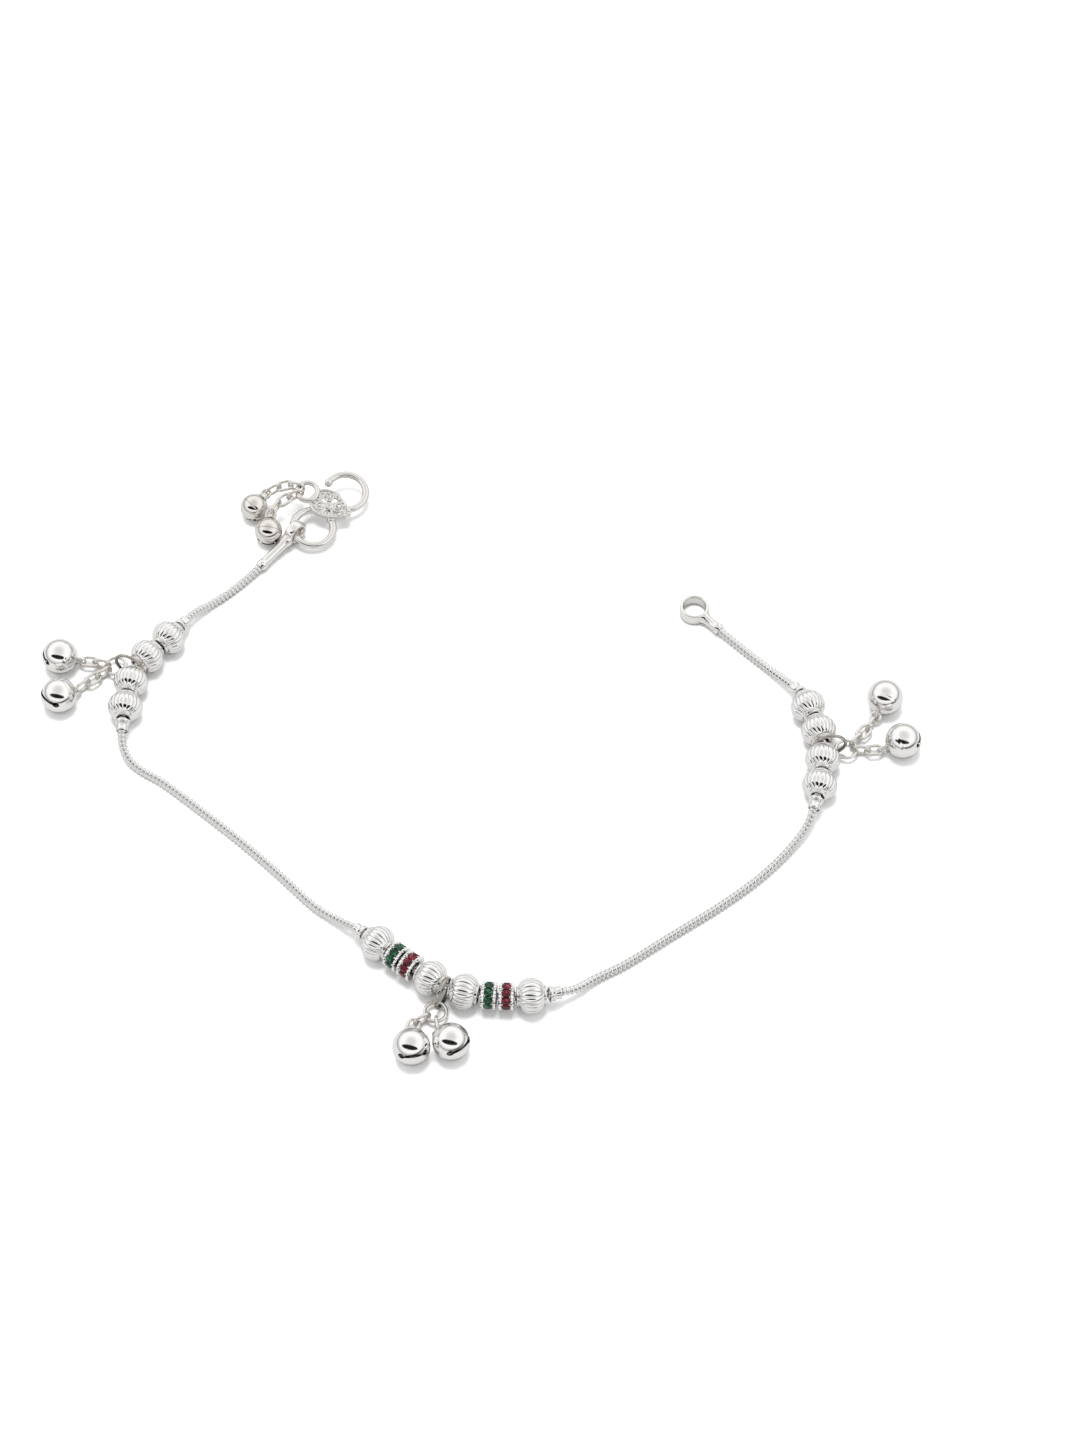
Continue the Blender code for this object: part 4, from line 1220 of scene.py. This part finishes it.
class ANKLET_OT_stage(bpy.types.Operator):
    """Set the white table, the soft light, the dark cards that the silver mirrors and the camera"""
    bl_idname = "anklet.stage"
    bl_label = "Stage"

    def execute(self, context):
        self.table(context.scene.anklet_finishes)
        self.lights(context.scene)
        self.dark_cards()
        self.camera(context.scene)
        return {"FINISHED"}

    def staged(self, name, data, material, seen_by):
        """Puts a piece of the stage up, for the named kinds of rays alone."""
        data.materials.append(material)
        obj = bpy.data.objects.new(name, data)
        bpy.context.scene.collection.objects.link(obj)
        for rays in ("camera", "diffuse", "shadow", "glossy"):
            setattr(obj, "visible_" + rays, rays in seen_by)
        return obj

    def table(self, finishes):
        """The white table, its greyer stand-in that only the silver mirrors, and the wall round them."""
        tables = (
            ("table", finishes.table, ("camera", "diffuse", "shadow"), -0.00006),
            ("table_in_silver", finishes.table_in_silver, ("glossy",), -0.00003),
        )
        for name, tint, seen_by, height in tables:
            paint = Paint(name)
            fleck = paint.range(paint.noise(60.0, 2.0), 0.3, 0.7)
            paint.set(base_color=paint.mix(fleck, tint, [channel * 0.985 for channel in tint]),
                      roughness=0.9, specular_ior_level=0.0)
            bm = bmesh.new()
            bmesh.ops.create_grid(bm, x_segments=2, y_segments=2, size=TABLE_SIDE / 2)
            data = bpy.data.meshes.new(name)
            bm.to_mesh(data)
            bm.free()
            self.staged(name, data, paint.material, seen_by).location.z = height
            if name == "table":
                wall = Shape()
                wall.skin([circle(96, WALL_RADIUS, (0, 0, z)) for z in (0.0, WALL_HEIGHT)])
                self.staged("backdrop", wall.mesh("backdrop"), paint.material, ("camera",))

    def lights(self, scene):
        """A tent of greys all round, and one soft lamp."""
        world = bpy.data.worlds.new("white_tent")
        scene.world = world
        world.use_nodes = True
        tree = world.node_tree
        spot = tree.nodes.new("ShaderNodeTexCoord")
        split = tree.nodes.new("ShaderNodeSeparateXYZ")
        ramp = tree.nodes.new("ShaderNodeValToRGB")
        tree.links.new(spot.outputs["Generated"], split.inputs[0])
        tree.links.new(split.outputs["Z"], ramp.inputs[0])
        stops = ramp.color_ramp.elements
        stops.remove(stops[1])
        for position, grey in SKY_GREYS:
            stop = stops.new(position) if position else stops[0]
            stop.color = (grey, grey, grey, 1)
        tree.links.new(ramp.outputs[0], tree.nodes["Background"].inputs[0])
        tree.nodes["Background"].inputs[1].default_value = SKY_STRENGTH
        data = bpy.data.lights.new("key", "AREA")
        data.shape = "DISK"
        data.size = KEY_DIAMETER
        data.energy = KEY_POWER
        lamp = bpy.data.objects.new("key", data)
        scene.collection.objects.link(lamp)
        lamp.location = KEY_PLACE
        lamp.rotation_euler = (-lamp.location).to_track_quat("-Z", "Y").to_euler()
        lamp.visible_glossy = False

    def dark_cards(self):
        """Oval cards that only the silver sees, each square to the line from the anklet."""
        for name, (grey, azimuth, rise, distance, wide, high) in DARK_CARDS.items():
            paint = Paint(name)
            paint.set(base_color=(grey, grey, grey, 1.0), roughness=1.0, specular_ior_level=0.0)
            seat = aimed(heading(azimuth, rise), heading(azimuth, rise) * distance)
            rim = [seat @ Vector((0, wide / 2 * math.cos(a), high / 2 * math.sin(a))) for a in turns(48)]
            data = bpy.data.meshes.new(name)
            data.from_pydata([tuple(point) for point in rim], [], [tuple(range(len(rim)))])
            self.staged(name, data, paint.material, ("glossy",))

    def camera(self, scene):
        data = bpy.data.cameras.new("camera")
        data.sensor_fit = "VERTICAL"
        data.sensor_height = 36
        data.lens = CAMERA_LENS
        data.clip_start = 0.01
        obj = bpy.data.objects.new("camera", data)
        scene.collection.objects.link(obj)
        target = Vector((LAYOUT.shift.x, LAYOUT.shift.y, 0))
        obj.location = target + heading(-90, CAMERA_RISE) * CAMERA_DISTANCE
        obj.rotation_euler = (math.radians(90 - CAMERA_RISE), 0, 0)
        scene.camera = obj
        scene.view_settings.view_transform = "Standard"


class ANKLET_PT_panel(bpy.types.Panel):
    """Lists the pieces of the anklet"""
    bl_label = "Payal Anklet"
    bl_idname = "ANKLET_PT_panel"
    bl_space_type = "VIEW_3D"
    bl_region_type = "UI"
    bl_category = "Anklet"

    def draw(self, context):
        for group in (context.scene.anklet_sizes, context.scene.anklet_finishes):
            for name in group.__annotations__:
                self.layout.prop(group, name)
        for operator in OPERATORS:
            self.layout.operator(operator.bl_idname)


OPERATORS = (
    ANKLET_OT_stage,
    ANKLET_OT_snake_chain,
    ANKLET_OT_beads,
    ANKLET_OT_caps,
    ANKLET_OT_rondelles,
    ANKLET_OT_rings_and_links,
    ANKLET_OT_bells,
    ANKLET_OT_end_fittings,
    ANKLET_OT_s_hook,
)

CLASSES = (AnkletSizes, AnkletFinishes, *OPERATORS, ANKLET_PT_panel)


def register():
    for cls in CLASSES:
        bpy.utils.register_class(cls)
    bpy.types.Scene.anklet_sizes = PointerProperty(type=AnkletSizes)
    bpy.types.Scene.anklet_finishes = PointerProperty(type=AnkletFinishes)


def unregister():
    del bpy.types.Scene.anklet_sizes
    del bpy.types.Scene.anklet_finishes
    for cls in reversed(CLASSES):
        bpy.utils.unregister_class(cls)


def main():
    """Build every piece."""
    register()
    bpy.ops.anklet.stage()
    bpy.ops.anklet.snake_chain()
    bpy.ops.anklet.beads()
    bpy.ops.anklet.caps()
    bpy.ops.anklet.rondelles()
    bpy.ops.anklet.rings_and_links()
    bpy.ops.anklet.bells()
    bpy.ops.anklet.end_fittings()
    bpy.ops.anklet.s_hook()
    bpy.context.view_layer.update()


if __name__ == "__main__":
    main()
